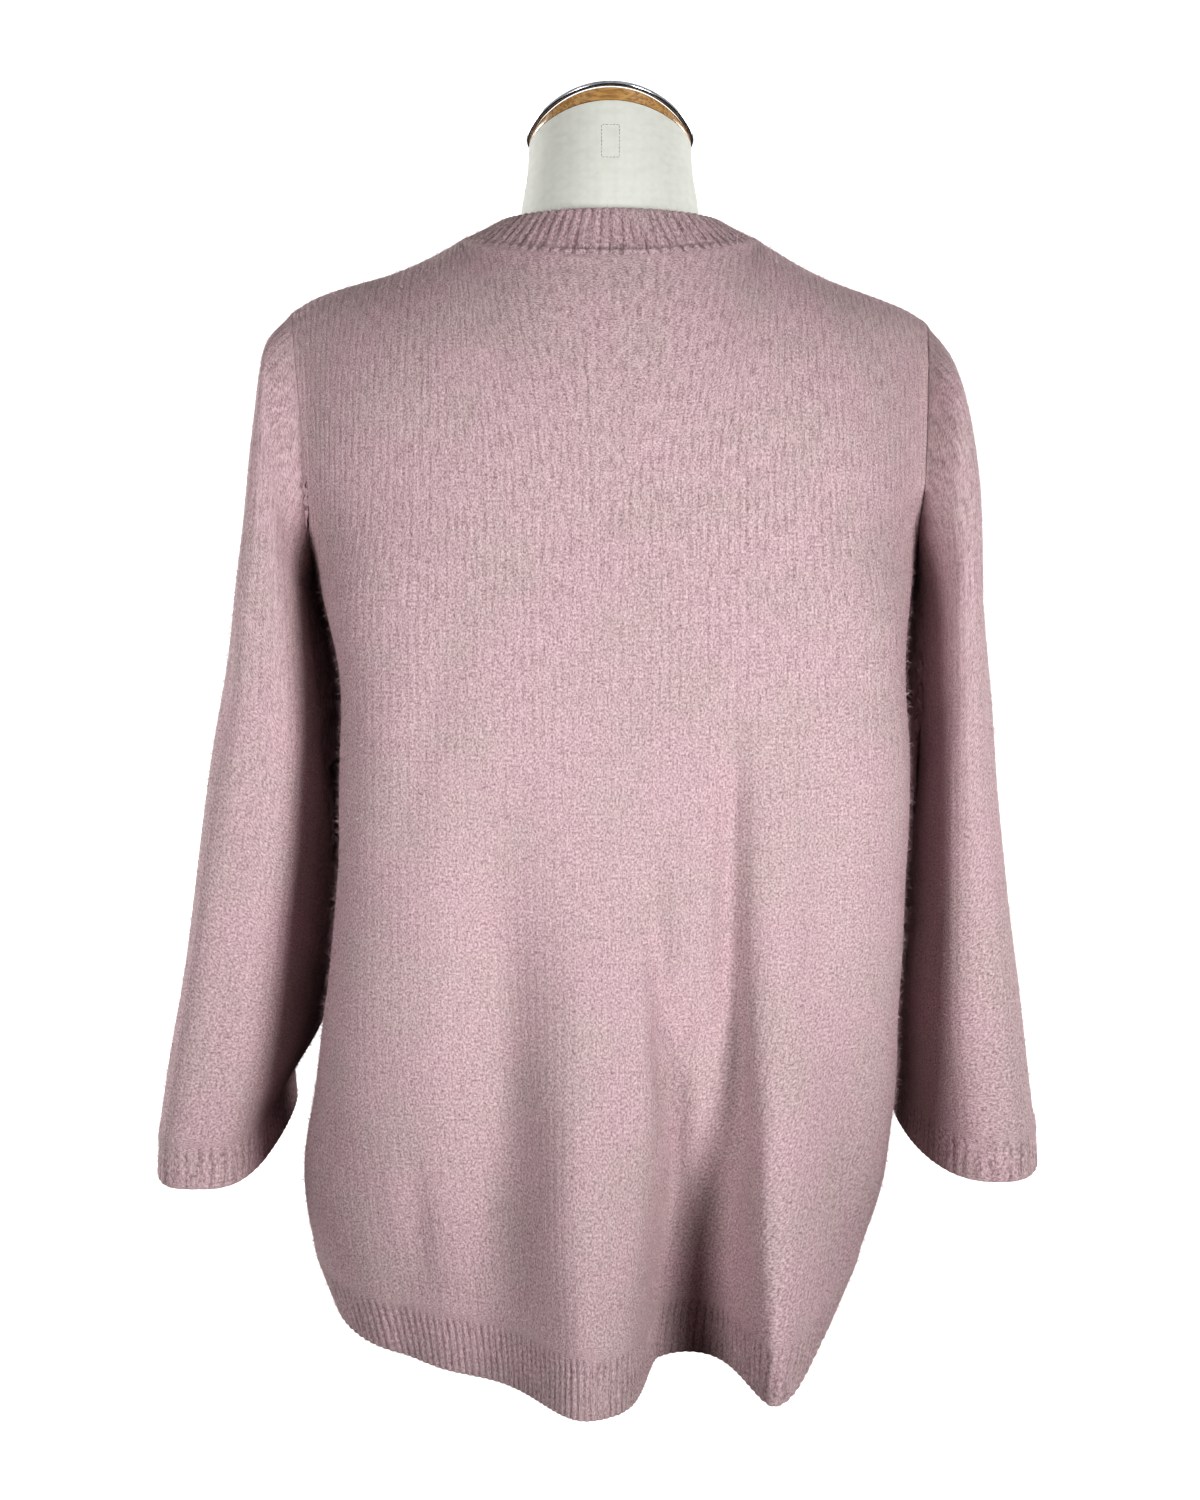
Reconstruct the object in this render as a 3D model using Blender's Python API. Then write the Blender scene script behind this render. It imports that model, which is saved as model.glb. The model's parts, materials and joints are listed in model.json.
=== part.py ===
"""A wide brushed-knit pullover worn by a limbless dress form.

The pullover is nine knitted pieces: back, front, two sleeves, a neck band, two hem ribs and two cuffs. Its outer
skin is worked out first, as grids that share their points along every seam. Each grid then becomes a wall of
knit, with a hair's gap to its neighbours. Metres, +Z up. The garment's back faces -Y and the wearer's left side
is at -X. While it is worked out, x = y = 0 is the form's own axis and z = 0 the ground under the form.
"""

import math

import bmesh
import bpy
import numpy as np

# ---------------------------------------------------------------- driving sizes
WALL = 0.0030  # one layer of brushed knit
RIB_RISE = 0.0010  # how far a rib stands out of its wall
SEAM_GAP = 0.0003

HEM_Z = 0.008
HEM_SEAM_Z = 0.045  # where the hem rib meets the panels
UNDERARM_Z = 0.380
CHEST_Z = 0.560  # above this the panels round over to the shoulders
TIP_X = 0.206  # the end of the shoulder seam
NECK_SIDE_X = 0.098  # where the shoulder seam meets the neck band
SIDE_SEAM_Y = 0.020
CUFF_DROP = 0.028  # height of a cuff's rib

SHOULDER_COLS, NECK_COLS = 12, 16  # columns of a panel: shoulder, neck, shoulder
PANEL_COLS = 2 * SHOULDER_COLS + NECK_COLS
LOW_ROWS, ARM_ROWS, TOP_ROWS = 9, 6, 6  # hem to underarm, underarm to chest, chest to shoulder
PANEL_ROWS = LOW_ROWS + ARM_ROWS + TOP_ROWS
SLEEVE_ROWS = 12
BAND_ROWS = 2
HEM_RIBS, CUFF_RIBS, NECK_RIBS = 4, 5, 5  # columns of rib between two columns of the panel

# Half-widths of the worn body on the wearer's left and right, and its depth behind and in front of the axis.
BODY_COLUMNS = ("z", "left", "right", "back", "front")
BODY_ROWS = (
    (0.008, 0.190, 0.158, 0.153, 0.150),
    (0.045, 0.203, 0.173, 0.152, 0.152),
    (0.095, 0.210, 0.188, 0.149, 0.153),
    (0.150, 0.203, 0.192, 0.146, 0.152),
    (0.220, 0.190, 0.191, 0.141, 0.150),
    (0.300, 0.178, 0.190, 0.134, 0.147),
    (0.380, 0.172, 0.190, 0.127, 0.144),
    (0.440, 0.176, 0.190, 0.121, 0.142),
    (0.500, 0.193, 0.197, 0.115, 0.134),
    (0.560, 0.203, 0.208, 0.110, 0.122),
)
BODY_ROUNDNESS = 2.5  # exponent of the body's oval
FINE_STEPS = 400  # steps in which a section's curve is measured

# The armhole seam from the underarm up to the chest: how far it lies behind and in front of the axis, and how far out
# from the body's side the panel's edge reaches to meet the sleeve.
ARMHOLE_COLUMNS = ("z", "back", "front", "out")
ARMHOLE_ROWS = (
    (0.380, -0.020, 0.020, 0.009),
    (0.410, 0.000, 0.040, 0.009),
    (0.440, 0.011, 0.050, 0.008),
    (0.470, 0.022, 0.057, 0.006),
    (0.500, 0.037, 0.061, 0.003),
    (0.530, 0.051, 0.062, 0.000),
    (0.560, 0.056, 0.062, 0.000),
)
EDGE_FLARE = 0.011  # how quickly that reach dies away from the panel's edge

# The shoulder seam's line, from the neck band out to the sleeve.
SHOULDER_COLUMNS = ("x", "z")
SHOULDER_ROWS = (
    (0.098, 0.7140),
    (0.105, 0.7100),
    (0.120, 0.7018),
    (0.142, 0.6920),
    (0.165, 0.6845),
    (0.187, 0.6768),
    (0.206, 0.6690),
)

SHOULDER_DROP = 0.0035  # the wearer's right shoulder hangs this much lower than the line, and the left one higher

# The neck band's seam and its free edge: half-width, back and front reach, and heights behind, beside, in front.
NECK_COLUMNS = ("half_width", "back", "front", "z_back", "z_side", "z_front")
NECK_SEAM = (0.098, 0.084, 0.092, 0.6935, 0.7140, 0.6520)
NECK_EDGE = (0.0722, 0.070, 0.074, 0.7245, 0.7255, 0.6860)

# Soft folds of the lower body, deepest at the hem. A positive depth stands out and a negative one sinks in.
FOLD_COLUMNS = ("side", "x_hem", "x_top", "z_top", "left_width", "right_width", "depth")
FOLD_ROWS = (
    ("back", -0.0153, -0.0120, 0.310, 0.036, 0.046, 0.048),
    ("back", 0.0303, 0.0600, 0.340, 0.011, 0.052, -0.052),
    ("back", 0.0979, 0.0960, 0.310, 0.020, 0.034, 0.066),
    ("back", -0.1280, -0.1330, 0.150, 0.016, 0.018, -0.005),
    ("front", -0.1100, -0.0800, 0.330, 0.026, 0.032, 0.024),
    ("front", -0.0450, -0.0600, 0.380, 0.024, 0.030, -0.022),
    ("front", 0.0200, 0.0120, 0.400, 0.034, 0.030, 0.026),
    ("front", 0.0700, 0.0560, 0.350, 0.022, 0.026, -0.020),
    ("front", 0.1120, 0.1040, 0.280, 0.022, 0.024, 0.022),
)
FOLD_SPREAD = 0.5  # how much wider a fold is where it dies away

# A sleeve in plan at each share of its length, below the armhole: outer and inner x, reach behind and in front of the
# axis, and how far its front is drawn in towards the body.
SLEEVE_COLUMNS = ("share", "outer", "inner", "back", "front", "toe")
LEFT_SLEEVE_ROWS = (
    (0.000, 0.2120, 0.188, 0.050, 0.060, 0.000),
    (0.028, 0.2250, 0.196, 0.055, 0.066, 0.002),
    (0.060, 0.2300, 0.201, 0.058, 0.072, 0.005),
    (0.120, 0.2345, 0.203, 0.060, 0.081, 0.009),
    (0.195, 0.2410, 0.203, 0.061, 0.090, 0.015),
    (0.285, 0.2485, 0.202, 0.060, 0.101, 0.024),
    (0.415, 0.2568, 0.200, 0.059, 0.109, 0.027),
    (0.515, 0.2662, 0.203, 0.058, 0.114, 0.028),
    (0.630, 0.2765, 0.208, 0.057, 0.118, 0.028),
    (0.755, 0.2868, 0.213, 0.056, 0.124, 0.031),
    (0.870, 0.2975, 0.221, 0.055, 0.127, 0.030),
    (1.000, 0.3090, 0.237, 0.054, 0.126, 0.024),
)
RIGHT_SLEEVE_ROWS = (
    (0.000, 0.2085, 0.200, 0.050, 0.058, 0.000),
    (0.025, 0.2175, 0.207, 0.054, 0.063, 0.001),
    (0.050, 0.2250, 0.210, 0.056, 0.067, 0.003),
    (0.080, 0.2320, 0.212, 0.057, 0.072, 0.006),
    (0.115, 0.2388, 0.213, 0.057, 0.077, 0.009),
    (0.165, 0.2452, 0.214, 0.057, 0.083, 0.013),
    (0.220, 0.2495, 0.2145, 0.055, 0.088, 0.017),
    (0.300, 0.2542, 0.215, 0.053, 0.094, 0.020),
    (0.440, 0.2618, 0.215, 0.051, 0.101, 0.023),
    (0.630, 0.2722, 0.214, 0.049, 0.108, 0.024),
    (0.820, 0.2838, 0.213, 0.047, 0.115, 0.025),
    (1.000, 0.2975, 0.217, 0.046, 0.115, 0.016),
)
SLEEVE_ROUNDNESS = 2.8
# Share of the length over which the armhole's shape gives way to the sleeve's, outside and under the arm.
SLEEVE_EASE = (0.035, 0.075)
# Height of the cuff's seam at the outside, back, inside and front of the wrist.
CUFF_SEAM_Z = (0.128, 0.130, 0.136, 0.140)
CUFF_FLARE = 0.003  # how much wider the cuff's free edge is

# The dress form: half-width, and depth behind and in front, from the ground to the chest.
FORM_COLUMNS = ("z", "half_width", "back", "front")
FORM_ROWS = (
    (0.000, 0.118, 0.084, 0.086),
    (0.030, 0.128, 0.091, 0.094),
    (0.080, 0.139, 0.099, 0.101),
    (0.130, 0.143, 0.102, 0.104),
    (0.190, 0.138, 0.098, 0.098),
    (0.260, 0.121, 0.086, 0.086),
    (0.310, 0.112, 0.079, 0.081),
    (0.360, 0.115, 0.081, 0.091),
    (0.420, 0.127, 0.087, 0.112),
    (0.470, 0.138, 0.092, 0.124),
    (0.515, 0.147, 0.096, 0.116),
    (0.560, 0.158, 0.099, 0.104),
)
FORM_ROUNDNESS = 2.3
FORM_NECK_COLS, FORM_SHOULDER_COLS = 14, 6
FORM_LOW_ROWS, FORM_TOP_ROWS = 11, 6
FORM_SHOULDER_ROWS = (
    (0.066, 0.7140),
    (0.076, 0.7070),
    (0.090, 0.7020),
    (0.105, 0.6990),
    (0.125, 0.6945),
    (0.142, 0.6882),
    (0.165, 0.6806),
    (0.178, 0.6743),
    (0.187, 0.6630),
)
# Rings of the form's neck, from its foot up: half-width, back and front reach, heights behind, beside, in front.
FORM_NECK_FOOT = (0.066, 0.064, 0.061, 0.7010, 0.7140, 0.6880)
FORM_NECK_RINGS = (
    (0.0590, 0.0590, 0.0590, 0.7220, 0.7270, 0.7080),
    (0.0565, 0.0575, 0.0555, 0.7450, 0.7400, 0.7250),
    (0.0535, 0.0560, 0.0525, 0.7700, 0.7570, 0.7390),
    (0.0525, 0.0550, 0.0520, 0.7910, 0.7735, 0.7495),
)
# The wood block that closes the neck, above the cloth cover: its foot, its shoulder and its flat top.
CAP_FOOT = (0.0523, 0.0548, 0.0518, 0.7915, 0.7740, 0.7500)
CAP_EDGE = (0.0523, 0.0548, 0.0518, 0.7985, 0.7757, 0.7520)
CAP_TOP = (0.0480, 0.0500, 0.0475, 0.7990, 0.7785, 0.7565)
CAP_COLS = 36
RIM_RADIUS = 0.0016  # the polished metal wire round the block's top edge
RIM_RING = (0.0525, 0.0550, 0.0520, 0.8010, 0.7782, 0.7546)

# ---------------------------------------------------------------- small helpers


def column(rows, names, name):
    """One named column of a table."""
    return [row[names.index(name)] for row in rows]


def smooth(rows, names, name, at):
    """A column read between its rows along a smooth curve, by the table's first column."""
    xs = column(rows, names, names[0])
    ys = column(rows, names, name)
    at = min(max(at, xs[0]), xs[-1])
    i = min(max(int(np.searchsorted(xs, at)) - 1, 0), len(xs) - 2)
    slopes = np.gradient(ys, xs)
    step = xs[i + 1] - xs[i]
    t = (at - xs[i]) / step
    return (
        (2 * t**3 - 3 * t**2 + 1) * ys[i]
        + (t**3 - 2 * t**2 + t) * step * slopes[i]
        + (3 * t**2 - 2 * t**3) * ys[i + 1]
        + (t**3 - t**2) * step * slopes[i + 1]
    )


def smooth_share(t):
    """0 to 1 with level ends, for one share or an array of them."""
    t = np.clip(t, 0.0, 1.0)
    return t * t * (3 - 2 * t)


def ease(t):
    """The same for one plain number."""
    return float(smooth_share(t))


def power(value, exponent):
    """value to an exponent, with its sign kept."""
    return math.copysign(abs(value) ** exponent, value)


def unit(vector):
    """A vector, or each of an array of vectors, at length 1."""
    return vector / np.maximum(np.linalg.norm(vector, axis=-1, keepdims=True), 1e-12)


def drop_shoulder(points):
    """Points with the right shoulder let down and the left one lifted, both fading out at the neck and the chest."""
    result = np.array(points, dtype=float)
    x, z = result[..., 0], result[..., 2]
    outwards = np.clip((np.abs(x) - 0.08) / 0.12, 0, 1)
    upwards = np.clip((z - 0.42) / 0.22, 0, 1)
    result[..., 2] -= SHOULDER_DROP * np.sign(x) * smooth_share(outwards) * smooth_share(upwards)
    return result


def neck_loop_point(loop, angle):
    """A point of a neck ring: 180 degrees is the wearer's left, 270 behind, 0 the right and 90 in front."""
    half_width, back, front, z_back, z_side, z_front = loop
    reach, z_far = (back, z_back) if math.sin(angle) < 0 else (front, z_front)
    towards_far = abs(math.sin(angle)) ** 1.6
    return np.array(
        (
            half_width * math.cos(angle),
            reach * math.sin(angle),
            z_side + (z_far - z_side) * towards_far,
        )
    )


# ---------------------------------------------------------------- the body's panels


def body_half(z, left):
    """Half-width of the worn body at a height, on one side."""
    return smooth(BODY_ROWS, BODY_COLUMNS, "left" if left else "right", z)


def fold_offset(side, x, z):
    """How far the folds move a panel outwards at a place."""
    total = 0.0
    for row_side, x_hem, x_top, z_top, left_width, right_width, depth in FOLD_ROWS:
        if row_side != side or z >= z_top:
            continue
        share = (z - HEM_Z) / (z_top - HEM_Z)
        away = x - (x_hem + (x_top - x_hem) * share)
        width = (left_width if away < 0 else right_width) * (1 + FOLD_SPREAD * share)
        total += depth * ease(1 - share) * math.exp(-((away / width) ** 2))
    return total


def edge_reach(side, z):
    """How far a panel's side edge lies behind (or in front of) the axis: side seam, then armhole."""
    if z <= UNDERARM_Z:
        return -SIDE_SEAM_Y if side == "back" else SIDE_SEAM_Y
    return smooth(ARMHOLE_ROWS, ARMHOLE_COLUMNS, side, z)


def spaced(line, count):
    """A line read again at count + 1 points that lie evenly along it, as a fabric's columns of stitches do."""
    line = np.array(line)
    along = np.concatenate(([0.0], np.cumsum(np.linalg.norm(np.diff(line, axis=0), axis=1))))
    at = np.linspace(0.0, along[-1], count + 1)
    return np.stack([np.interp(at, along, line[:, axis]) for axis in range(3)], axis=-1)


def panel_section(side, z):
    """A level section of a panel, from the wearer's left edge to the right one."""
    outwards = -1.0 if side == "back" else 1.0
    centre_y = SIDE_SEAM_Y if z <= UNDERARM_Z else SIDE_SEAM_Y * (CHEST_Z - z) / (CHEST_Z - UNDERARM_Z)
    depth = smooth(BODY_ROWS, BODY_COLUMNS, side, z) - outwards * centre_y
    edge = max(edge_reach(side, z) - outwards * centre_y, 0.0)
    out = smooth(ARMHOLE_ROWS, ARMHOLE_COLUMNS, "out", z) if z >= UNDERARM_Z else 0.0
    first = math.asin(min((edge / depth) ** (BODY_ROUNDNESS / 2), 1.0))
    points = []
    for angle in np.linspace(first, math.pi - first, FINE_STEPS):
        half = body_half(z, left=angle < math.pi / 2)
        x = -half * power(math.cos(angle), 2 / BODY_ROUNDNESS)
        reach = depth * abs(math.sin(angle)) ** (2 / BODY_ROUNDNESS)
        x -= power(math.cos(angle), 0) * out * math.exp(-(((reach - edge) / EDGE_FLARE) ** 2))
        reach += fold_offset(side, x, z) * (1 - abs(math.cos(angle)) ** 8)
        points.append((x, centre_y + outwards * reach, z))
    return spaced(points, PANEL_COLS)


def panel_top(side):
    """A panel's top edge: shoulder seam, neck seam, shoulder seam."""
    points = []
    for j in range(SHOULDER_COLS):
        x = TIP_X + (NECK_SIDE_X - TIP_X) * j / SHOULDER_COLS
        points.append((-x, 0.0, smooth(SHOULDER_ROWS, SHOULDER_COLUMNS, "z", x)))
    turn = -math.pi if side == "back" else math.pi
    for j in range(NECK_COLS + 1):
        angle = math.pi - turn * j / NECK_COLS
        points.append(tuple(neck_loop_point(NECK_SEAM, angle)))
    points += [(-x, y, z) for x, y, z in reversed(points[:SHOULDER_COLS])]
    return np.array(points)


def round_over(low, top, turns, rows):
    """Rows from one section up to a top edge, along a quarter turn or less at each column."""
    grid = []
    for i in range(1, rows + 1):
        share = i / rows
        angle = turns * share
        rise = np.sin(angle) / np.sin(turns)
        lean = (1 - np.cos(angle)) / (1 - np.cos(turns))
        row = low + (top - low) * np.stack((ease(share) * 0.5 + rise * 0.5, lean, rise), axis=-1)
        grid.append(row)
    grid[-1] = top.copy()
    return grid


def column_turns(shoulder_cols, neck_cols, at_neck):
    """How far each column turns over: a quarter turn at the shoulders and less at the neck."""
    turns = []
    for j in range(2 * shoulder_cols + neck_cols + 1):
        from_side = min(j, 2 * shoulder_cols + neck_cols - j)
        share = ease((from_side - shoulder_cols) / (neck_cols / 4))
        turns.append(math.pi / 2 + (at_neck - math.pi / 2) * share)
    return np.array(turns)


def panel_grid(side):
    """The outer skin of the back or the front, rows from the hem seam up and columns from left to right."""
    heights = [HEM_SEAM_Z + (UNDERARM_Z - HEM_SEAM_Z) * i / LOW_ROWS for i in range(LOW_ROWS)]
    heights += [UNDERARM_Z + (CHEST_Z - UNDERARM_Z) * i / ARM_ROWS for i in range(ARM_ROWS + 1)]
    rows = [panel_section(side, z) for z in heights]
    turns = column_turns(SHOULDER_COLS, NECK_COLS, math.radians(50 if side == "back" else 62))
    rows += round_over(rows[-1], panel_top(side), turns, TOP_ROWS)
    return np.array(rows)


# ---------------------------------------------------------------- the sleeves


def armhole_loop(back, front, left):
    """The armhole's points off the panels' edges: shoulder, down one side, underarm, up the other."""
    edge = 0 if left else PANEL_COLS
    down = range(PANEL_ROWS - 1, LOW_ROWS, -1)
    behind = [back[i, edge] for i in down]
    before = [front[i, edge] for i in down]
    tip, underarm = back[PANEL_ROWS, edge], back[LOW_ROWS, edge]
    first, second = (before, behind) if left else (behind, before)
    return np.array([tip, *first, underarm, *reversed(second)])


def sleeve_grid(armhole, left):
    """The outer skin of a sleeve, rows from the armhole down to the cuff's seam and columns all round."""
    rows_table = LEFT_SLEEVE_ROWS if left else RIGHT_SLEEVE_ROWS
    side = -1.0 if left else 1.0
    count = len(armhole)
    grid = [armhole]
    for i in range(1, SLEEVE_ROWS + 1):
        share = (i / SLEEVE_ROWS) ** 1.5
        outer, inner, back, front, toe = (
            smooth(rows_table, SLEEVE_COLUMNS, name, share) for name in SLEEVE_COLUMNS[1:]
        )
        centre_x, half = (outer + inner) / 2, (outer - inner) / 2
        centre_y, reach = (front - back) / 2, (front + back) / 2
        row = []
        for k in range(count):
            angle = 2 * math.pi * k / count
            under = 0.5 - 0.5 * math.cos(angle)
            own = ease(share / (SLEEVE_EASE[0] + (SLEEVE_EASE[1] - SLEEVE_EASE[0]) * under))
            across = power(math.cos(angle), 2 / SLEEVE_ROUNDNESS)
            facing = power(math.sin(angle), 2 / SLEEVE_ROUNDNESS) * (1.0 if left else -1.0)
            x = side * (centre_x + half * across - toe * (0.5 + 0.5 * facing) ** 1.5)
            y = centre_y + reach * facing
            z_out, z_back, z_in, z_front = CUFF_SEAM_Z
            z_cuff = (z_out + z_in) / 2 + (z_out - z_in) / 2 * math.cos(angle)
            z_cuff += ((z_front - z_back) / 2) * facing
            z = armhole[k][2] + (z_cuff - armhole[k][2]) * share
            x = armhole[k][0] + (x - armhole[k][0]) * own
            y = armhole[k][1] + (y - armhole[k][1]) * own
            row.append((x, y, z))
        grid.append(np.array(row))
    return np.array(grid)


def cuff_grid(sleeve):
    """The outer skin of a cuff, rows from its seam down to its free edge."""
    seam = sleeve[-1]
    centre = seam.mean(axis=0)
    edge = seam.copy()
    spread = 1 + CUFF_FLARE / np.linalg.norm(seam[:, :2] - centre[:2], axis=1)
    edge[:, :2] = centre[:2] + (seam[:, :2] - centre[:2]) * spread[:, None]
    edge[:, 2] -= CUFF_DROP
    return np.array([seam, edge])


def neck_band_grid(back, front):
    """The outer skin of the neck band, rows from its seam up and columns round from the wearer's left."""
    neck = slice(SHOULDER_COLS, SHOULDER_COLS + NECK_COLS + 1)
    seam = np.concatenate((back[-1, neck], front[-1, neck][::-1][1:-1]))
    count = len(seam)
    edge = np.array([neck_loop_point(NECK_EDGE, math.pi + 2 * math.pi * k / count) for k in range(count)])
    return np.array([seam + (edge - seam) * i / BAND_ROWS for i in range(BAND_ROWS + 1)])


def hem_grid(side, panel):
    """The outer skin of a hem rib, rows from the free edge up to the panel."""
    return np.array([panel_section(side, HEM_Z), panel[0]])


# ---------------------------------------------------------------- walls of knit


def spot(point):
    """A key that two grids share where they meet."""
    return tuple(np.round(point, 6))


def skin_normals(grids):
    """The joined skin's outward direction at every point, and how much further a wall reaches along it at a crease."""
    corners = {}
    for grid, wraps in grids:
        rows, cols = grid.shape[:2]
        for i in range(rows - 1):
            for j in range(cols if wraps else cols - 1):
                k = (j + 1) % cols
                face = grid[i, j], grid[i, k], grid[i + 1, k], grid[i + 1, j]
                for c, corner in enumerate(face):
                    after, before = unit(face[(c + 1) % 4] - corner), unit(face[c - 1] - corner)
                    turn = math.acos(min(max(float(after @ before), -1.0), 1.0))
                    corners.setdefault(spot(corner), []).append((turn, unit(np.cross(after, before))))
    result = {}
    for key, meeting in corners.items():
        normal = unit(sum(turn * out for turn, out in meeting))
        for _ in range(60):  # lean towards the face that it favours least, so that no wall folds back at a crease
            least = min((out for _, out in meeting), key=lambda out: float(normal @ out))
            if normal @ least > 0.45:
                break
            normal = unit(normal + 0.06 * least)
        level = sum(turn * float(normal @ out) for turn, out in meeting) / sum(turn for turn, _ in meeting)
        result[key] = (normal, 1 / max(level, 0.6))
    return result


def edge_shift(edge, inwards, normals, wraps, corners):
    """How far each point of an open edge moves off its seam: half the gap, level with the skin, towards its own piece.

    An edge that turns a corner has a seam on each side of it, and the corner moves off both.
    """
    shift = np.zeros_like(edge)
    stops = [0, *corners, len(edge) - 1]
    for first, last in zip(stops, stops[1:]):
        part = slice(first, last + 1)
        if wraps:
            run = np.roll(edge, -1, axis=0) - np.roll(edge, 1, axis=0)
        else:
            run = np.gradient(edge[part], axis=0)
        across = unit(np.cross(normals[part], run))
        towards = np.sign(np.sum(across * inwards[part], axis=-1, keepdims=True))
        shift[part] += across * towards * (SEAM_GAP / 2 + 0.00001)
    return shift


def off_seams(grid, normals, wraps, top_corners, side_corners):
    """The grid with each of its open edges drawn in by half a seam's gap."""
    result = grid.copy()
    result[0] += edge_shift(grid[0], grid[1] - grid[0], normals[0], wraps, ())
    result[-1] += edge_shift(grid[-1], grid[-2] - grid[-1], normals[-1], wraps, top_corners)
    if not wraps:
        for j, beside in ((0, 1), (-1, -2)):
            inwards = grid[:, beside] - grid[:, j]
            result[:, j] += edge_shift(grid[:, j], inwards, normals[:, j], False, side_corners)
    return result


def leads(a, b):
    """Whether a comes before b along a seam, the same for both pieces that meet there and for both sides of the body."""
    return (-abs(a[0]), a[1], a[2]) < (-abs(b[0]), b[1], b[2])


def split(bm, corners, rising, flip):
    """Two triangles on four corners, so that both sides of a twisted wall crease the same way."""
    a, b, c, d = corners
    for face in ((a, b, c), (a, c, d)) if rising else ((a, b, d), (b, c, d)):
        bm.faces.new(reversed(face) if flip else face)


def close_edge(bm, inner, outer, from_first, flip):
    """Triangles across the wall's edge, between two inner points and the outer points that face them."""
    a, b = inner
    turn = len(outer) // 2 if len(outer) > 2 else int(from_first)
    faces = [(a, outer[n], outer[n + 1]) for n in range(turn)]
    faces.append((a, outer[turn], b))
    faces += [(b, outer[n], outer[n + 1]) for n in range(turn, len(outer) - 1)]
    for face in faces:
        bm.faces.new(reversed(face) if flip else face)


def wall(name, grid, skin, wraps, material, ribs=1, rise=(0.0, 0.0), corners=((), ())):
    """A closed wall of knit under a grid of outer points.

    ribs is how many outer columns each column of the grid has, rise is how far they stand out in the first row and in
    the others, and corners names the columns at which the last row turns and the rows at which the sides turn.
    """
    bm = bmesh.new()
    normals = np.array([[skin[spot(point)][0] for point in row] for row in grid])
    reach = np.array([[[skin[spot(point)][1]] for point in row] for row in grid])
    base = off_seams(grid, normals, wraps, *corners)
    rows, cols = grid.shape[:2]
    spans = cols if wraps else cols - 1
    inner = [[bm.verts.new(p) for p in row] for row in base - normals * reach * WALL]
    outer = []
    for i in range(rows):
        row = []
        for n in range(spans * ribs + (0 if wraps else 1)):
            j, step = divmod(n, ribs)
            k = (j + 1) % cols if step else j
            share = step / ribs
            point = base[i, j] * (1 - share) + base[i, k] * share
            out = unit(normals[i, j] * (1 - share) + normals[i, k] * share)
            row.append(bm.verts.new(point + out * (rise[min(i, 1)] if n % 2 else 0.0)))
        outer.append(row)
    fine = len(outer[0])
    for i in range(rows - 1):
        for n in range(spans * ribs) if ribs > 1 else ():
            m = (n + 1) % fine
            bm.faces.new((outer[i][n], outer[i][m], outer[i + 1][m], outer[i + 1][n]))
        for j in range(spans):
            k = (j + 1) % cols
            rising = np.linalg.norm(grid[i, j] - grid[i + 1, k]) < np.linalg.norm(grid[i, k] - grid[i + 1, j])
            if ribs == 1:
                split(bm, (outer[i][j], outer[i][k], outer[i + 1][k], outer[i + 1][j]), rising, False)
            split(bm, (inner[i][j], inner[i][k], inner[i + 1][k], inner[i + 1][j]), rising, True)
        for j in () if wraps else (0, -1):
            facing = (inner[i][j], inner[i + 1][j]), (outer[i][j], outer[i + 1][j])
            close_edge(bm, *facing, leads(spot(grid[i, j]), spot(grid[i + 1, j])), flip=j == -1)
    for i, flip in ((0, True), (rows - 1, False)):
        for j in range(spans):
            k = (j + 1) % cols
            facing = (inner[i][j], inner[i][k]), [outer[i][(j * ribs + n) % fine] for n in range(ribs + 1)]
            close_edge(bm, *facing, leads(spot(grid[i, j]), spot(grid[i, k])), flip)
    return finish(name, bm, material)


def finish(name, bm, material):
    """An object of a finished mesh, shaded smooth over all but its sharp edges."""
    mesh = bpy.data.meshes.new(name)
    bmesh.ops.recalc_face_normals(bm, faces=bm.faces)
    bm.to_mesh(mesh)
    bm.free()
    mesh.shade_smooth()
    mesh.set_sharp_from_angle(angle=math.radians(40))
    mesh.materials.append(material)
    obj = bpy.data.objects.new(name, mesh)
    bpy.context.scene.collection.objects.link(obj)
    return obj


def material(name, colour, roughness, metallic=0.0):
    """A plain finish."""
    result = bpy.data.materials.new(name)
    result.use_nodes = True
    shader = result.node_tree.nodes["Principled BSDF"]
    shader.inputs["Base Color"].default_value = (*colour, 1.0)
    shader.inputs["Roughness"].default_value = roughness
    shader.inputs["Metallic"].default_value = metallic
    return result


# ---------------------------------------------------------------- the dress form


def form_section(z, outwards):
    """A level half section of the form, from the wearer's left to the right."""
    half = smooth(FORM_ROWS, FORM_COLUMNS, "half_width", z)
    depth = smooth(FORM_ROWS, FORM_COLUMNS, "back" if outwards < 0 else "front", z)
    cols = 2 * FORM_SHOULDER_COLS + FORM_NECK_COLS
    angles = [math.pi * j / cols for j in range(cols + 1)]
    return np.array(
        [
            (
                -half * power(math.cos(a), 2 / FORM_ROUNDNESS),
                outwards * depth * abs(math.sin(a)) ** (2 / FORM_ROUNDNESS),
                z,
            )
            for a in angles
        ]
    )


def form_top(outwards):
    """The form's shoulder line and the foot of its neck, from the wearer's left to the right."""
    names = SHOULDER_COLUMNS
    tip = FORM_SHOULDER_ROWS[-1][0]
    foot = FORM_SHOULDER_ROWS[0][0]
    points = []
    for j in range(FORM_SHOULDER_COLS):
        x = tip + (foot - tip) * j / FORM_SHOULDER_COLS
        points.append((-x, 0.0, smooth(FORM_SHOULDER_ROWS, names, "z", x)))
    for j in range(FORM_NECK_COLS + 1):
        angle = math.pi - outwards * math.pi * j / FORM_NECK_COLS
        points.append(tuple(neck_loop_point(FORM_NECK_FOOT, angle)))
    points += [(-x, y, z) for x, y, z in reversed(points[:FORM_SHOULDER_COLS])]
    return np.array(points)


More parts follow.
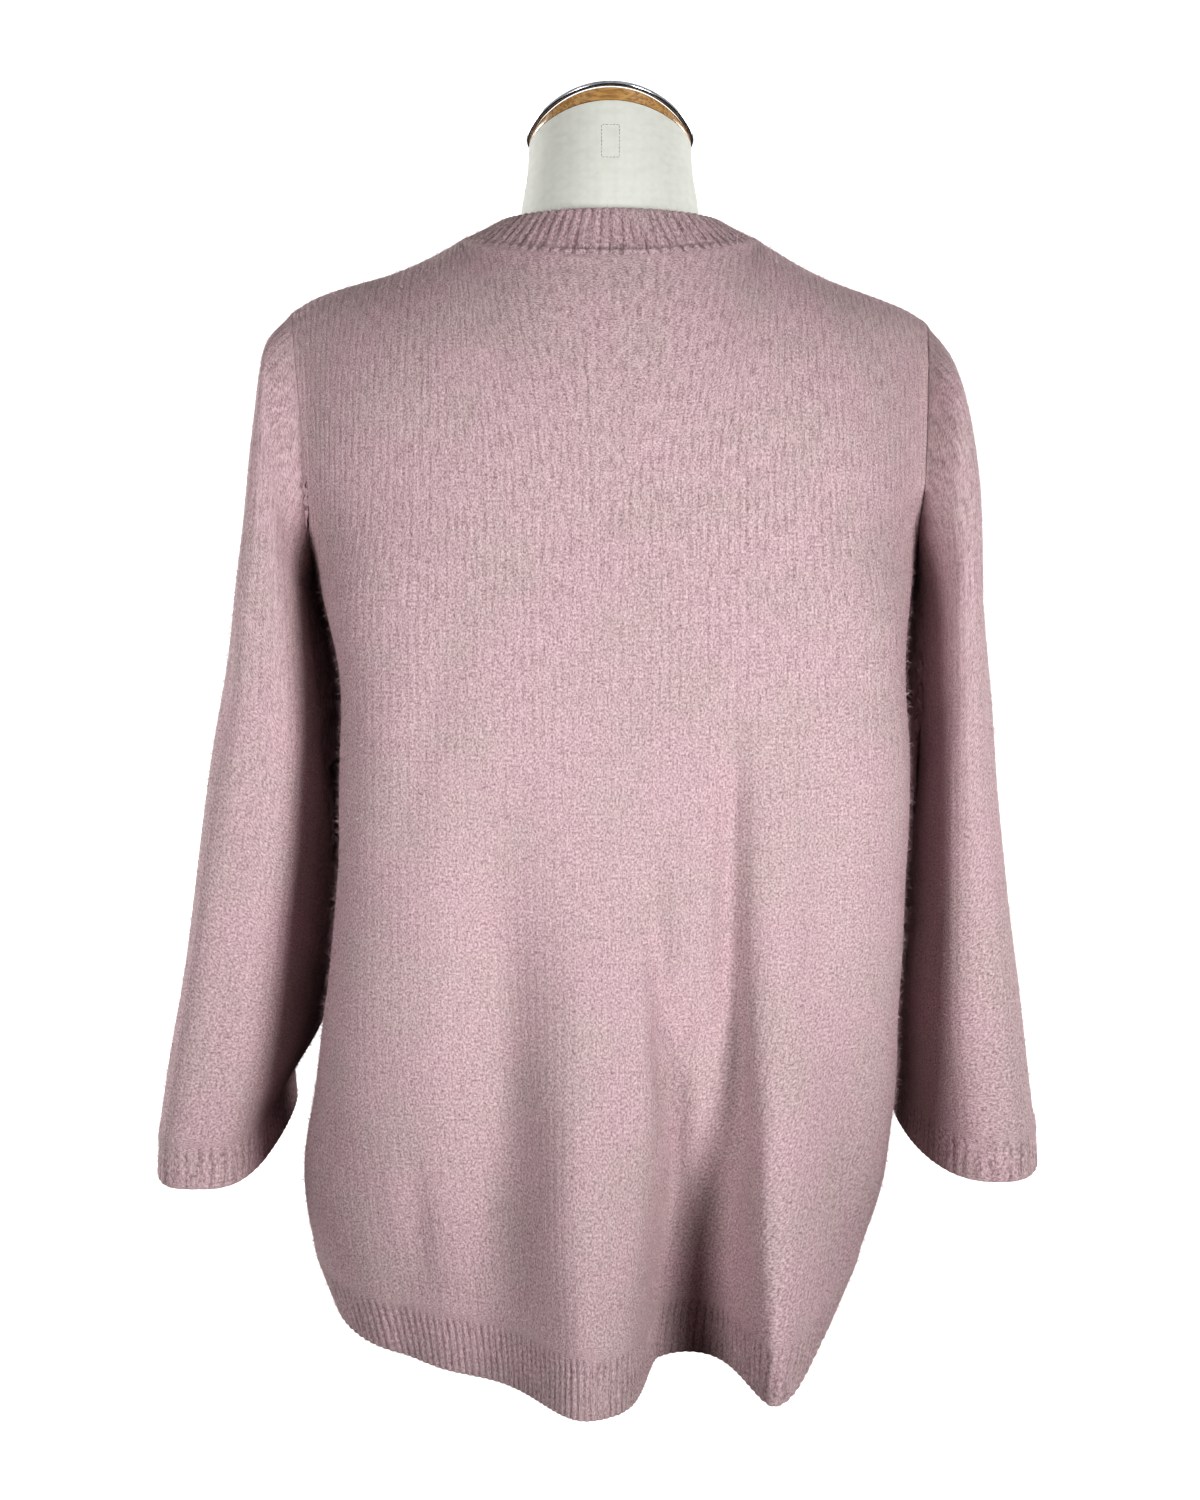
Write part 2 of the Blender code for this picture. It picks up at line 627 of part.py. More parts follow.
def form_half(outwards):
    """Rows of points over the back (outwards -1) or the front (+1) of the form's trunk."""
    heights = [CHEST_Z * i / FORM_LOW_ROWS for i in range(FORM_LOW_ROWS + 1)]
    rows = [form_section(z, outwards) for z in heights]
    turns = column_turns(FORM_SHOULDER_COLS, FORM_NECK_COLS, math.radians(48))
    return rows + round_over(rows[-1], form_top(outwards), turns, FORM_TOP_ROWS)


def ring_points(loop, count):
    """A neck ring's points, from the wearer's left round behind to the right and on in front."""
    return [neck_loop_point(loop, math.pi + 2 * math.pi * k / count) for k in range(count)]


def bridge(bm, low, high):
    """Quads between two rings of the same number of vertices."""
    for k, vertex in enumerate(low):
        n = (k + 1) % len(low)
        bm.faces.new((vertex, low[n], high[n], high[k]))


def build_form_body(cover):
    """The form's trunk and neck as one closed solid, flat underneath."""
    bm = bmesh.new()
    back, front = drop_shoulder(form_half(-1.0)), drop_shoulder(form_half(1.0))
    cache = {}

    def vertex(point):
        key = spot(point)
        if key not in cache:
            cache[key] = bm.verts.new(point)
        return cache[key]

    for half in (back, front):
        for low, high in zip(half, half[1:]):
            for j in range(len(low) - 1):
                a, b, c, d = (vertex(p) for p in (low[j], low[j + 1], high[j + 1], high[j]))
                if j == 0:
                    faces = (a, b, d), (b, c, d)
                elif j == len(low) - 2:
                    faces = (a, b, c), (a, c, d)
                else:
                    faces = ((a, b, c, d),)
                for face in faces:
                    bm.faces.new(face)
    bm.faces.new([vertex(p) for p in [*back[0], *front[0][::-1][1:-1]]])
    neck = slice(FORM_SHOULDER_COLS, FORM_SHOULDER_COLS + FORM_NECK_COLS + 1)
    ring = [vertex(p) for p in [*back[-1][neck], *front[-1][neck][::-1][1:-1]]]
    for loop in FORM_NECK_RINGS:
        higher = [bm.verts.new(p) for p in ring_points(loop, len(ring))]
        bridge(bm, ring, higher)
        ring = higher
    centre = bm.verts.new(np.mean([v.co for v in ring], axis=0))
    for k, v in enumerate(ring):
        bm.faces.new((v, ring[(k + 1) % len(ring)], centre))
    return finish("form_body", bm, cover)


def build_form_cap(wood):
    """The turned block that closes the neck, thickest at the nape."""
    bm = bmesh.new()
    rings = [[bm.verts.new(p) for p in ring_points(loop, CAP_COLS)] for loop in (CAP_FOOT, CAP_EDGE, CAP_TOP)]
    for low, high in zip(rings, rings[1:]):
        bridge(bm, low, high)
    for ring in (rings[0], rings[-1]):
        centre = bm.verts.new(np.mean([v.co for v in ring], axis=0))
        for k, v in enumerate(ring):
            bm.faces.new((v, ring[(k + 1) % CAP_COLS], centre))
    return finish("form_neck_block", bm, wood)


def build_form_rim(metal):
    """The metal wire round the block's top edge."""
    curve = bpy.data.curves.new("form_neck_rim", "CURVE")
    curve.dimensions = "3D"
    curve.bevel_depth = RIM_RADIUS
    curve.bevel_resolution = 1
    path = curve.splines.new("POLY")
    path.points.add(CAP_COLS - 1)
    for point, place in zip(path.points, ring_points(RIM_RING, CAP_COLS)):
        point.co = (*place, 1.0)
    path.use_cyclic_u = True
    curve.materials.append(metal)
    obj = bpy.data.objects.new("form_neck_rim", curve)
    bpy.context.scene.collection.objects.link(obj)
    return obj


# ---------------------------------------------------------------- the whole object


def build_pullover(knit):
    """The nine pieces of the pullover."""
    back, front = drop_shoulder(panel_grid("back")), drop_shoulder(panel_grid("front"))
    around = front[:, ::-1]  # the front's columns run on round the body from the back's
    left = sleeve_grid(armhole_loop(back, front, left=True), left=True)
    right = sleeve_grid(armhole_loop(back, front, left=False), left=False)
    band = neck_band_grid(back, front)
    hem_back, hem_front = hem_grid("back", back), hem_grid("front", front)[:, ::-1]
    # A sleeve's and a cuff's rows run downwards, so their columns already run the other way round.
    cuff_left, cuff_right = cuff_grid(left), cuff_grid(right)
    turning = (SHOULDER_COLS, SHOULDER_COLS + NECK_COLS), (LOW_ROWS,)
    straight = (), ()
    flat, raised, raised_from_seam = (0.0, 0.0), (RIB_RISE, RIB_RISE), (0.0, RIB_RISE)
    pieces = (
        ("back", back, False, 1, flat, turning),
        ("front", around, False, 1, flat, turning),
        ("sleeve_left", left, True, 1, flat, straight),
        ("sleeve_right", right, True, 1, flat, straight),
        ("neck_rib", band, True, NECK_RIBS, raised_from_seam, straight),
        ("hem_rib_back", hem_back, False, HEM_RIBS, raised, straight),
        ("hem_rib_front", hem_front, False, HEM_RIBS, raised, straight),
        ("cuff_left", cuff_left, True, CUFF_RIBS, raised, straight),
        ("cuff_right", cuff_right, True, CUFF_RIBS, raised, straight),
    )
    skin = skin_normals([(grid, wraps) for _, grid, wraps, *_ in pieces])
    return [
        wall(name, grid, skin, wraps, knit, ribs, rise, corners)
        for name, grid, wraps, ribs, rise, corners in pieces
    ]


def main():
    for obj in list(bpy.data.objects):
        bpy.data.objects.remove(obj, do_unlink=True)
    knit = material("brushed knit, dusty rose", (0.50, 0.33, 0.35), 0.95)
    cover = material("linen cover", (0.80, 0.78, 0.72), 0.85)
    wood = material("varnished wood", (0.45, 0.24, 0.08), 0.4)
    metal = material("polished metal", (0.75, 0.75, 0.78), 0.15, 1.0)
    objects = build_pullover(knit)
    objects += [build_form_body(cover), build_form_cap(wood), build_form_rim(metal)]

    # The row's origin is under the middle of the whole object, and the form's axis stands beside it.
    points = np.array([vertex.co for obj in objects if obj.type == "MESH" for vertex in obj.data.vertices])
    middle = (points.min(axis=0) + points.max(axis=0)) / 2
    stand = bpy.data.objects.new("pullover_on_form", None)
    bpy.context.scene.collection.objects.link(stand)
    stand.location = (-middle[0], -middle[1], -points[:, 2].min())
    for obj in objects:
        obj.parent = stand


main()
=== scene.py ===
"""A brushed-knit pullover worn by a limbless dress form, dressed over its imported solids.

Metres, +Z up. The garment's back faces -Y and the wearer's left side is at -X. The worn shapes are worked out from the
form's own axis, which stands where the record's resting mount is. Each knitted piece is a grid of points, rows along
the wales and columns across them, that becomes a wall of cloth with its ribs, wales, seams and creases in the mesh.
"""

from __future__ import annotations

import json
import logging
import math
from dataclasses import dataclass, field
from enum import Enum
from typing import Any, Sequence

import bmesh
import bpy
import numpy as np
from mathutils import Matrix, Vector

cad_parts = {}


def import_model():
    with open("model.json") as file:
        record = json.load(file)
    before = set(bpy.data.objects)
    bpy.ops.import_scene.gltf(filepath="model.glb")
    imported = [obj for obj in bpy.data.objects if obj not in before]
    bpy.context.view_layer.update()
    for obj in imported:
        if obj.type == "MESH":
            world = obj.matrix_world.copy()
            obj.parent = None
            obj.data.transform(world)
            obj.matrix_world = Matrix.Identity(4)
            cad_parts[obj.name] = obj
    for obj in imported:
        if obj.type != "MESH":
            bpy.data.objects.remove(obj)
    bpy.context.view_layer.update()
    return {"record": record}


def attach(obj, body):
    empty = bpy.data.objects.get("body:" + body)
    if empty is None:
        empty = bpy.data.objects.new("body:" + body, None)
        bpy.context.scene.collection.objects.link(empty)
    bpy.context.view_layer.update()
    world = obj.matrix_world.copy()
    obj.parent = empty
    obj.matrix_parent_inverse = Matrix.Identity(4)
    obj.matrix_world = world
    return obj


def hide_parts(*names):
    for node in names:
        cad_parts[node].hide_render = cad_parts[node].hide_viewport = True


LOG = logging.getLogger("pullover")
MILLIMETRES = 1000.0
WELD = 1e-6  # metres within which two points of a grid are one
SHELL_CORNER = 50.0  # degrees from which a corner of the form is crisp
CLOTH_CORNER = 60.0  # the same for the cut edges of cloth

Grid = np.ndarray  # rows x columns x 3, in metres


# ---------------------------------------------------------------- tables and curves


@dataclass(frozen=True)
class Table:
    """Rows of sizes under named columns, read along a smooth curve by the first column.

    Args:
        names: the columns' names.
        rows: one tuple of sizes for each row.
    """

    names: tuple[str, ...]
    rows: tuple[tuple[float, ...], ...]

    def column(self, name: str) -> np.ndarray:
        """One named column."""
        return np.array([row[self.names.index(name)] for row in self.rows])

    def read(self, name: str, at: float | np.ndarray) -> Any:
        """A column between its rows.

        Args:
            name: the column that is read.
            at: one or more values of the first column.

        Returns:
            The size at each value, along a cubic that passes through every row.
        """
        xs, ys = self.column(self.names[0]), self.column(name)
        at = np.clip(at, xs[0], xs[-1])
        i = np.clip(np.searchsorted(xs, at) - 1, 0, len(xs) - 2)
        slopes = np.gradient(ys, xs)
        step = xs[i + 1] - xs[i]
        t = (at - xs[i]) / step
        return (
            (2 * t**3 - 3 * t**2 + 1) * ys[i]
            + (t**3 - 2 * t**2 + t) * step * slopes[i]
            + (3 * t**2 - 2 * t**3) * ys[i + 1]
            + (t**3 - t**2) * step * slopes[i + 1]
        )


class Side(Enum):
    """The garment's back or front, with the direction in y in which it faces."""

    BACK = -1.0
    FRONT = 1.0

    @property
    def column(self) -> str:
        """The name of this side's column in a table."""
        return self.name.lower()


class Arm(Enum):
    """The wearer's left or right arm, with the direction in x in which it lies."""

    LEFT = -1.0
    RIGHT = 1.0

    @property
    def suffix(self) -> str:
        """The end of this arm's piece names."""
        return self.name.lower()


class Stitch(Enum):
    """How a piece is knitted."""

    PLAIN = "plain"
    RIB = "1 x 1 rib"


def level_ends(share: Any) -> Any:
    """A share from 0 to 1 whose ends are level."""
    share = np.clip(share, 0.0, 1.0)
    return share * share * (3 - 2 * share)


def signed_power(value: np.ndarray, exponent: float) -> np.ndarray:
    """Values to an exponent, with their signs kept."""
    return np.copysign(np.abs(value) ** exponent, value)


def bell(away: Any) -> Any:
    """A bell curve that is 1 at 0 and falls off within about 2."""
    return np.exp(-(away**2))


def read_along(at: np.ndarray, known: np.ndarray, points: np.ndarray) -> np.ndarray:
    """Points between points that lie at known places along a line."""
    return np.stack([np.interp(at, known, points[:, axis]) for axis in range(3)], axis=-1)


def resampled(line: np.ndarray, count: int, even_half: float, hold: float = 5.0) -> np.ndarray:
    """A line read again at count + 1 points, as a fabric's columns of stitches lie.

    The columns in the middle keep their pitch, so that the wales hang upright, and those at the sides take up what
    the line is longer or shorter.

    Args:
        line: the points of a level section, from left to right.
        count: how many steps there are between columns.
        even_half: half the length at which all the columns would lie evenly.
        hold: the exponent that keeps the change near the sides.

    Returns:
        The new points.
    """
    along = np.concatenate(([0.0], np.cumsum(np.linalg.norm(np.diff(line, axis=0), axis=1))))
    middle = float(np.interp(0.0, line[:, 0], along))
    share = np.linspace(-1.0, 1.0, count + 1)
    half = np.where(share < 0, middle, along[-1] - middle)
    at = middle + share * even_half + np.sign(share) * np.abs(share) ** hold * (half - even_half)
    return read_along(at, along, line)


BESIDE_SEAM = (0.0012, 0.0030)  # metres from a seam to the rows that shape it
BESIDE_EDGE = (0.0002, 0.0006, 0.0012, 0.0020)  # the same for a free edge that rolls inwards


def steps(
    count: int,
    length: float,
    near_first: Sequence[float] = (),
    near_last: Sequence[float] = (),
    exponent: float = 1.0,
) -> np.ndarray:
    """Shares from 0 to 1 for the rows of a piece.

    Args:
        count: how many steps there are.
        length: the piece's real length in metres.
        near_first: distances from the first row at which rows are added.
        near_last: the same for the last row.
        exponent: 1 for even steps, and more for steps that are closer together near the first row.

    Returns:
        The shares, in order.
    """
    even = np.linspace(0.0, 1.0, count + 1) ** exponent
    first, last = np.array(near_first) / length, 1.0 - np.array(near_last) / length
    return np.sort(np.concatenate((even, first, last)))


def outwards_of(grid: Grid, closed: bool) -> Grid:
    """The unit normals of a grid, along columns x rows. A closed grid's last column lies on its first."""
    if closed:
        ring = np.concatenate((grid[:, -2:-1], grid, grid[:, 1:2]), axis=1)
        across = (ring[:, 2:] - ring[:, :-2]) / 2
    else:
        across = np.gradient(grid, axis=1)
    normals = np.cross(across, np.gradient(grid, axis=0))
    return normals / np.maximum(np.linalg.norm(normals, axis=-1, keepdims=True), 1e-12)


def edge_distance(grid: Grid, closed: bool, skip_first: bool = False, skip_last: bool = False) -> np.ndarray:
    """How far each point lies from the nearest sewn edge, along the cloth.

    Args:
        grid: the piece's points.
        closed: whether its columns run all round.
        skip_first: whether the first row is a free edge, which isn't sewn.
        skip_last: the same for the last row.

    Returns:
        The distances in metres.
    """
    down = np.cumsum(np.linalg.norm(np.diff(grid, axis=0, prepend=grid[:1]), axis=-1), axis=0)
    nearest = np.full(grid.shape[:2], 1.0)
    if not skip_first:
        nearest = np.minimum(nearest, down)
    if not skip_last:
        nearest = np.minimum(nearest, down[-1] - down)
    if not closed:
        along = np.cumsum(np.linalg.norm(np.diff(grid, axis=1, prepend=grid[:, :1]), axis=-1), axis=1)
        nearest = np.minimum(nearest, np.minimum(along, along[:, -1:] - along))
    return nearest


@dataclass(frozen=True)
class NeckRing:
    """A ring round the neck: its half width, its reach behind and in front, and its three heights."""

    half_width: float
    back: float
    front: float
    z_back: float
    z_side: float
    z_front: float
    rise: float = 1.6  # the exponent that keeps the height of the sides towards the back and the front

    def points(self, angles: np.ndarray) -> np.ndarray:
        """Points of the ring: 180 degrees is the wearer's left, 270 behind, 0 the right and 90 in front."""
        behind = np.sin(angles) < 0
        reach = np.where(behind, self.back, self.front)
        z_far = np.where(behind, self.z_back, self.z_front)
        z = self.z_side + (z_far - self.z_side) * np.abs(np.sin(angles)) ** self.rise
        return np.stack((self.half_width * np.cos(angles), reach * np.sin(angles), z), axis=-1)


def round_over(low: np.ndarray, top: np.ndarray, turns: np.ndarray, shares: np.ndarray) -> Grid:
    """Rows from one level section up to a top edge, along a quarter turn or less at each column."""
    angle = turns * shares[:, None]
    rise = np.sin(angle) / np.sin(turns)
    lean = (1 - np.cos(angle)) / (1 - np.cos(turns))
    sideways = level_ends(shares)[:, None] * 0.5 + rise * 0.5
    return low + (top - low) * np.stack((sideways, lean, rise), axis=-1)


def column_turns(shoulder: int, neck: int, at_neck: float) -> np.ndarray:
    """How far each column turns over: a quarter turn at the shoulders and at_neck degrees below the neck."""
    columns = np.arange(2 * shoulder + neck + 1)
    from_side = np.minimum(columns, 2 * shoulder + neck - columns)
    share = level_ends((from_side - shoulder) / (neck / 4))
    return np.pi / 2 + (math.radians(at_neck) - np.pi / 2) * share


def top_edge(side: Side, shoulder: Table, ring: NeckRing, cols: tuple[int, int]) -> np.ndarray:
    """The top edge of a back or a front, from left to right: shoulder, neck, shoulder.

    Args:
        side: which of the two it is.
        shoulder: the shoulder line's height at its distances from the middle, from the neck out.
        ring: the ring at the neck.
        cols: how many columns a shoulder and the neck have.

    Returns:
        A point for each column.
    """
    foot, tip = shoulder.rows[0][0], shoulder.rows[-1][0]
    x = tip + (foot - tip) * np.arange(cols[0]) / cols[0]
    left = np.stack((-x, np.zeros_like(x), shoulder.read("z", x)), axis=-1)
    angles = np.pi - side.value * np.pi * np.arange(cols[1] + 1) / cols[1]
    return np.concatenate((left, ring.points(angles), left[::-1] * (-1.0, 1.0, 1.0)))


@dataclass(frozen=True)
class ShoulderDrop:
    """The right shoulder hangs lower than the left: by how much, and where that fades out."""

    drop: float = 0.0035
    x_from: float = 0.08
    x_over: float = 0.12
    z_from: float = 0.42
    z_over: float = 0.22

    def applied(self, grid: Grid) -> Grid:
        """The grid with one shoulder let down and the other lifted."""
        result = grid.copy()
        x, z = result[..., 0], result[..., 2]
        outwards = level_ends((np.abs(x) - self.x_from) / self.x_over)
        upwards = level_ends((z - self.z_from) / self.z_over)
        result[..., 2] -= self.drop * np.sign(x) * outwards * upwards
        return result


# ---------------------------------------------------------------- nodes


def linear(code: str) -> tuple[float, float, float, float]:
    """A linear colour from an sRGB hex code such as "#C9AFB3"."""
    channels = [int(code[i : i + 2], 16) / 255 for i in (1, 3, 5)]
    curve = [c / 12.92 if c <= 0.04045 else ((c + 0.055) / 1.055) ** 2.4 for c in channels]
    return (curve[0], curve[1], curve[2], 1.0)


class Nodes:
    """A tree of nodes that is being filled.

    Args:
        tree: the tree of a material, a world or a geometry group.
    """

    def __init__(self, tree: bpy.types.NodeTree) -> None:
        self.tree = tree
        tree.nodes.clear()

    def add(self, kind: str, inputs: dict[str | int, Any] | None = None, **settings: Any) -> Any:
        """Adds a node.

        Args:
            kind: the node's type.
            inputs: for each input's name or number, the value that it holds or the socket that it is linked from.
            **settings: properties of the node.

        Returns:
            The node.
        """
        node = self.tree.nodes.new(kind)
        for name, value in settings.items():
            setattr(node, name, value)
        for key, value in (inputs or {}).items():
            if isinstance(value, bpy.types.NodeSocket):
                self.tree.links.new(value, node.inputs[key])
            else:
                node.inputs[key].default_value = value
        return node

    def mixed(self, share: Any, first: Any, second: Any) -> Any:
        """A colour socket between two colours, each a socket or a linear colour."""
        return self.add("ShaderNodeMix", {0: share, 6: first, 7: second}, data_type="RGBA").outputs[2]

    def ranged(self, value: Any, low: float, high: float, to: tuple[float, float] = (0.0, 1.0)) -> Any:
        """A value's socket taken from low..high to another range, with soft ends."""
        limits = {"Value": value, "From Min": low, "From Max": high, "To Min": to[0], "To Max": to[1]}
        return self.add("ShaderNodeMapRange", limits, interpolation_type="SMOOTHSTEP").outputs[0]

    def computed(self, operation: str, *values: Any) -> Any:
        """The socket of one sum."""
        return self.add("ShaderNodeMath", dict(enumerate(values)), operation=operation).outputs[0]

    def part(self, vector: Any, axis: int) -> Any:
        """The socket of a vector's x, y or z."""
        return self.add("ShaderNodeSeparateXYZ", {0: vector}).outputs[axis]

    def stretched(self, place: Any, scale: tuple[float, float, float]) -> Any:
        """A place's socket, scaled by its own factor along each axis."""
        return self.add("ShaderNodeMapping", {"Vector": place, "Scale": scale}).outputs[0]

    def noise(self, place: Any, scale: float, detail: float, roughness: float = 0.5, flat: bool = False) -> Any:
        """Noise about 0.5 as a socket, in two dimensions where it is flat."""
        inputs = {"Vector": place, "Scale": scale, "Detail": detail, "Roughness": roughness}
        return self.add("ShaderNodeTexNoise", inputs, noise_dimensions="2D" if flat else "3D").outputs[0]

    def bump(self, height: Any, strength: float, distance: float) -> Any:
        """A normal's socket, for relief that is too fine for a mesh."""
        return self.add("ShaderNodeBump", {"Height": height, "Strength": strength, "Distance": distance}).outputs[0]


class Finish(Nodes):
    """A material that is being made.

    Args:
        name: the finish's plain name.
    """

    def __init__(self, name: str) -> None:
        self.material = bpy.data.materials.new(name)
        self.material.use_nodes = True
        super().__init__(self.material.node_tree)

    def place(self, kind: str = "Object") -> Any:
        """The socket of a texture coordinate."""
        return self.add("ShaderNodeTexCoord").outputs[kind]

    def surfaced(self, shader: Any) -> bpy.types.Material:
        """The material, with a shader as its surface."""
        self.add("ShaderNodeOutputMaterial", {0: shader.outputs[0]})
        return self.material

    def shaded(self, colour: Any, inputs: dict[str, Any]) -> bpy.types.Material:
        """The material, with a colour and the other inputs of the common surface shader."""
        return self.surfaced(self.add("ShaderNodeBsdfPrincipled", {"Base Color": colour, **inputs}))


def geometry_group(name: str) -> tuple[Nodes, Any]:
    """An empty geometry group, and the socket of the mesh that comes into it."""
    group = bpy.data.node_groups.new(name, "GeometryNodeTree")
    for way in ("INPUT", "OUTPUT"):
        group.interface.new_socket("Geometry", in_out=way, socket_type="NodeSocketGeometry")
    made = Nodes(group)
    return made, made.add("NodeGroupInput").outputs[0]


# ---------------------------------------------------------------- materials


@dataclass(frozen=True)
class BrushedKnit:
    """Lambswool and mohair knit, brushed after knitting.

    The eye gets a matt dusty rose, mottled with paler fibre ends, in which the wales show only as soft upright lines
    that fade in and out, with painted shade darkening the line between two wales, and a faint glow where the nap
    turns away.

    Args:
        name: the material's name.
        pitch: metres from one wale, or rib, to the next.
        groove_shade: painted shade, how much darker the colour of the line between two wales is, 0 to 1.
        groove_width: the exponent that narrows that line.
        plain_below: the share of the wales' contrast, painted groove shade included, that is left low down, where they
            hang slack.
    """

    name: str
    pitch: float
    groove_shade: float
    groove_width: float
    plain_below: float
    shade: str = "#8E777C"
    pale: str = "#E3CBCF"
    bare_shade: str = "#8A7877"  # where the nap is thin and the greyer ground shows
    bare_pale: str = "#DDCBCB"
    speck: tuple[float, float] = (1.3, 1.4)  # millimetres across and along the wales
    speck_detail: float = 4.0
    contrast: tuple[float, float] = (2.4, -0.72)  # the specks' factor and what is added to them
    streak: tuple[float, float] = (2.4, 12.0)  # the same for the mottling that runs along the wales
    streak_detail: float = 1.5
    streaky: float = 0.45  # how much the wales' own lengthwise mottling counts beside the specks
    grain_roughness: float = 0.8
    cloud: float = 48.0  # millimetres, the size of the greyer patches
    drawn_up: tuple[float, float] = (0.30, 0.60)  # heights between which the wales' streaks and painted groove shade grow to full strength, where the shoulders draw the wales taut

    def groove_shade_mask(self, made: Finish, flat: Any) -> Any:
        """Where the painted shade of the line between two wales falls: 1 in that line and 0 on a wale, as a socket."""
        phase = made.computed("FRACT", made.computed("DIVIDE", made.part(flat, 0), self.pitch * MILLIMETRES))
        from_middle = made.computed("ABSOLUTE", made.computed("SUBTRACT", phase, 0.5))
        return made.computed("POWER", made.computed("MULTIPLY", from_middle, 2.0), self.groove_width)

    def build(self) -> bpy.types.Material:
        """The finish, on a UV map that is in metres of flat cloth."""
        made = Finish(self.name)
        place, cloth = made.place(), {0: made.place("UV"), "Scale": MILLIMETRES}
        flat = made.add("ShaderNodeVectorMath", cloth, operation="SCALE").outputs[0]
        speck, streak = (
            made.noise(made.stretched(flat, (1 / across, 1 / along, 1.0)), 1.0, detail, self.grain_roughness, flat=True)
            for (across, along), detail in ((self.speck, self.speck_detail), (self.streak, self.streak_detail))
        )
        clouds = made.noise(place, MILLIMETRES / self.cloud, 2.0)
        clear = made.ranged(made.part(place, 2), *self.drawn_up, (self.plain_below, 1.0))
        # Painted shade: the line between two wales is darkened in colour, broken up along its length by the streaks.
        painted_groove_shade = made.computed("MULTIPLY", self.groove_shade_mask(made, flat), made.ranged(streak, 0.62, 0.36, (0.25, 1.0)))
        soft = made.computed("MULTIPLY_ADD", streak, self.streaky, -0.5 * self.streaky)
        lines = made.computed("SUBTRACT", soft, made.computed("MULTIPLY", painted_groove_shade, self.groove_shade))
        tone = made.computed("MULTIPLY_ADD", speck, *self.contrast)
        # The tone, and with it the colour and the bump, takes the streaks and the painted groove shade, faded by
        # height.
        tone = made.computed("MULTIPLY_ADD", lines, clear, tone)
        colour = made.mixed(
            made.ranged(clouds, 0.38, 0.68, (0.0, 0.70)),
            made.mixed(tone, linear(self.shade), linear(self.pale)),
            made.mixed(tone, linear(self.bare_shade), linear(self.bare_pale)),
        )
        inputs = {
            "Roughness": 0.94,
            "IOR": 1.54,
            "Specular IOR Level": 0.12,
            "Sheen Weight": 0.3,
            "Sheen Roughness": 0.45,
            "Sheen Tint": linear("#EBD8DA"),
            "Normal": made.bump(tone, 0.28, 0.0004),
        }
        return made.shaded(colour, inputs)


@dataclass(frozen=True)
class LooseFibre:
    """The fibre ends that brushing pulls out of the yarn: paler than the cloth, and each its own shade of rose."""

    name: str = "brushed wool fibre ends"
    pale: str = "#E0CCCF"
    deep: str = "#B2969B"
    change: float = 3.0  # millimetres over which one fibre's shade gives way to another's

    def build(self) -> bpy.types.Material:
        """The finish, on Object coordinates."""
        made = Finish(self.name)
        shade = made.ranged(made.noise(made.place(), MILLIMETRES / self.change, 0.0), 0.35, 0.65)
        inputs = {"Roughness": 0.8, "IOR": 1.54, "Specular IOR Level": 0.2, "Sheen Weight": 0.2}
        return made.shaded(made.mixed(shade, linear(self.pale), linear(self.deep)), inputs)


@dataclass(frozen=True)
class LinenCover:
    """Closely woven linen, stretched and sewn: off-white and matt, with uneven threads."""

    name: str = "woven linen, off-white"
    pale: str = "#D6D7D0"
    thread: str = "#C3C3BA"
    band: float = 5.654867  # millimetres from one soft band of the weave's shading to the next
    wave_scale: float = 0.314  # a wave texture's scale for bands a metre apart
    slub: tuple[float, float, float] = (130.0, 130.0, 260.0)  # thick places in a metre, along each axis

    def build(self) -> bpy.types.Material:
        """The finish, on Object coordinates."""
        made = Finish(self.name)
        place = made.place()
        scale = self.wave_scale * MILLIMETRES / self.band
        bands = []
        for tilt in (0.0, math.pi / 2):
            turned = made.add("ShaderNodeMapping", {"Vector": place, "Rotation": (0.0, tilt, 0.0)}).outputs[0]
            wave = {"Vector": turned, "Scale": scale, "Distortion": 1.2, "Detail": 1.0, "Detail Scale": 3.0}
            bands.append(made.add("ShaderNodeTexWave", wave, bands_direction="X").outputs[1])
        threads = made.computed("MAXIMUM", *bands)
        slub = made.ranged(made.noise(made.stretched(place, self.slub), 1.0, 2.0), 0.4, 0.7, (0.0, 0.25))
        colour = made.mixed(slub, linear(self.pale), linear(self.thread))
        colour = made.mixed(made.computed("MULTIPLY", threads, 0.12), colour, linear(self.thread))
        inputs = {
            "Roughness": 0.88,
            "IOR": 1.53,
            "Specular IOR Level": 0.25,
            "Sheen Weight": 0.08,
            "Normal": made.bump(threads, 0.2, 0.0002),
        }
        return made.shaded(colour, inputs)


@dataclass(frozen=True)
class SewingThread:
    """Cotton sewing thread, a shade greyer than the linen it holds, with a fine twist."""

    name: str = "cotton sewing thread"
    colour: str = "#B9B7AE"
    twisted: str = "#9C9A92"

    def build(self) -> bpy.types.Material:
        """The finish, on Object coordinates."""
        made = Finish(self.name)
        twist = made.ranged(made.noise(made.place(), 2500.0, 1.0), 0.35, 0.65)
        return made.shaded(made.mixed(twist, linear(self.colour), linear(self.twisted)), {"Roughness": 0.75})


@dataclass(frozen=True)
class VarnishedBeech:
    """Turned beech under a caramel varnish: fine long grain, small dark pores and a soft gloss."""

    name: str = "varnished beech, caramel"
    light: str = "#B9935C"
    dark: str = "#8B6534"
    grain: float = 1.6  # millimetres between grain lines

    def build(self) -> bpy.types.Material:
        """The finish, on Object coordinates."""
        made = Finish(self.name)
        drawn = made.stretched(made.place(), (40.0, 1000.0, MILLIMETRES / self.grain))
        grain = made.noise(drawn, 1.0, 3.0, 0.6)
        colour = made.mixed(made.ranged(grain, 0.35, 0.65), linear(self.light), linear(self.dark))
        varnish = {"Roughness": 0.38, "IOR": 1.5, "Coat Weight": 0.4, "Coat Roughness": 0.15}
        return made.shaded(colour, {**varnish, "Normal": made.bump(grain, 0.08, 0.0003)})


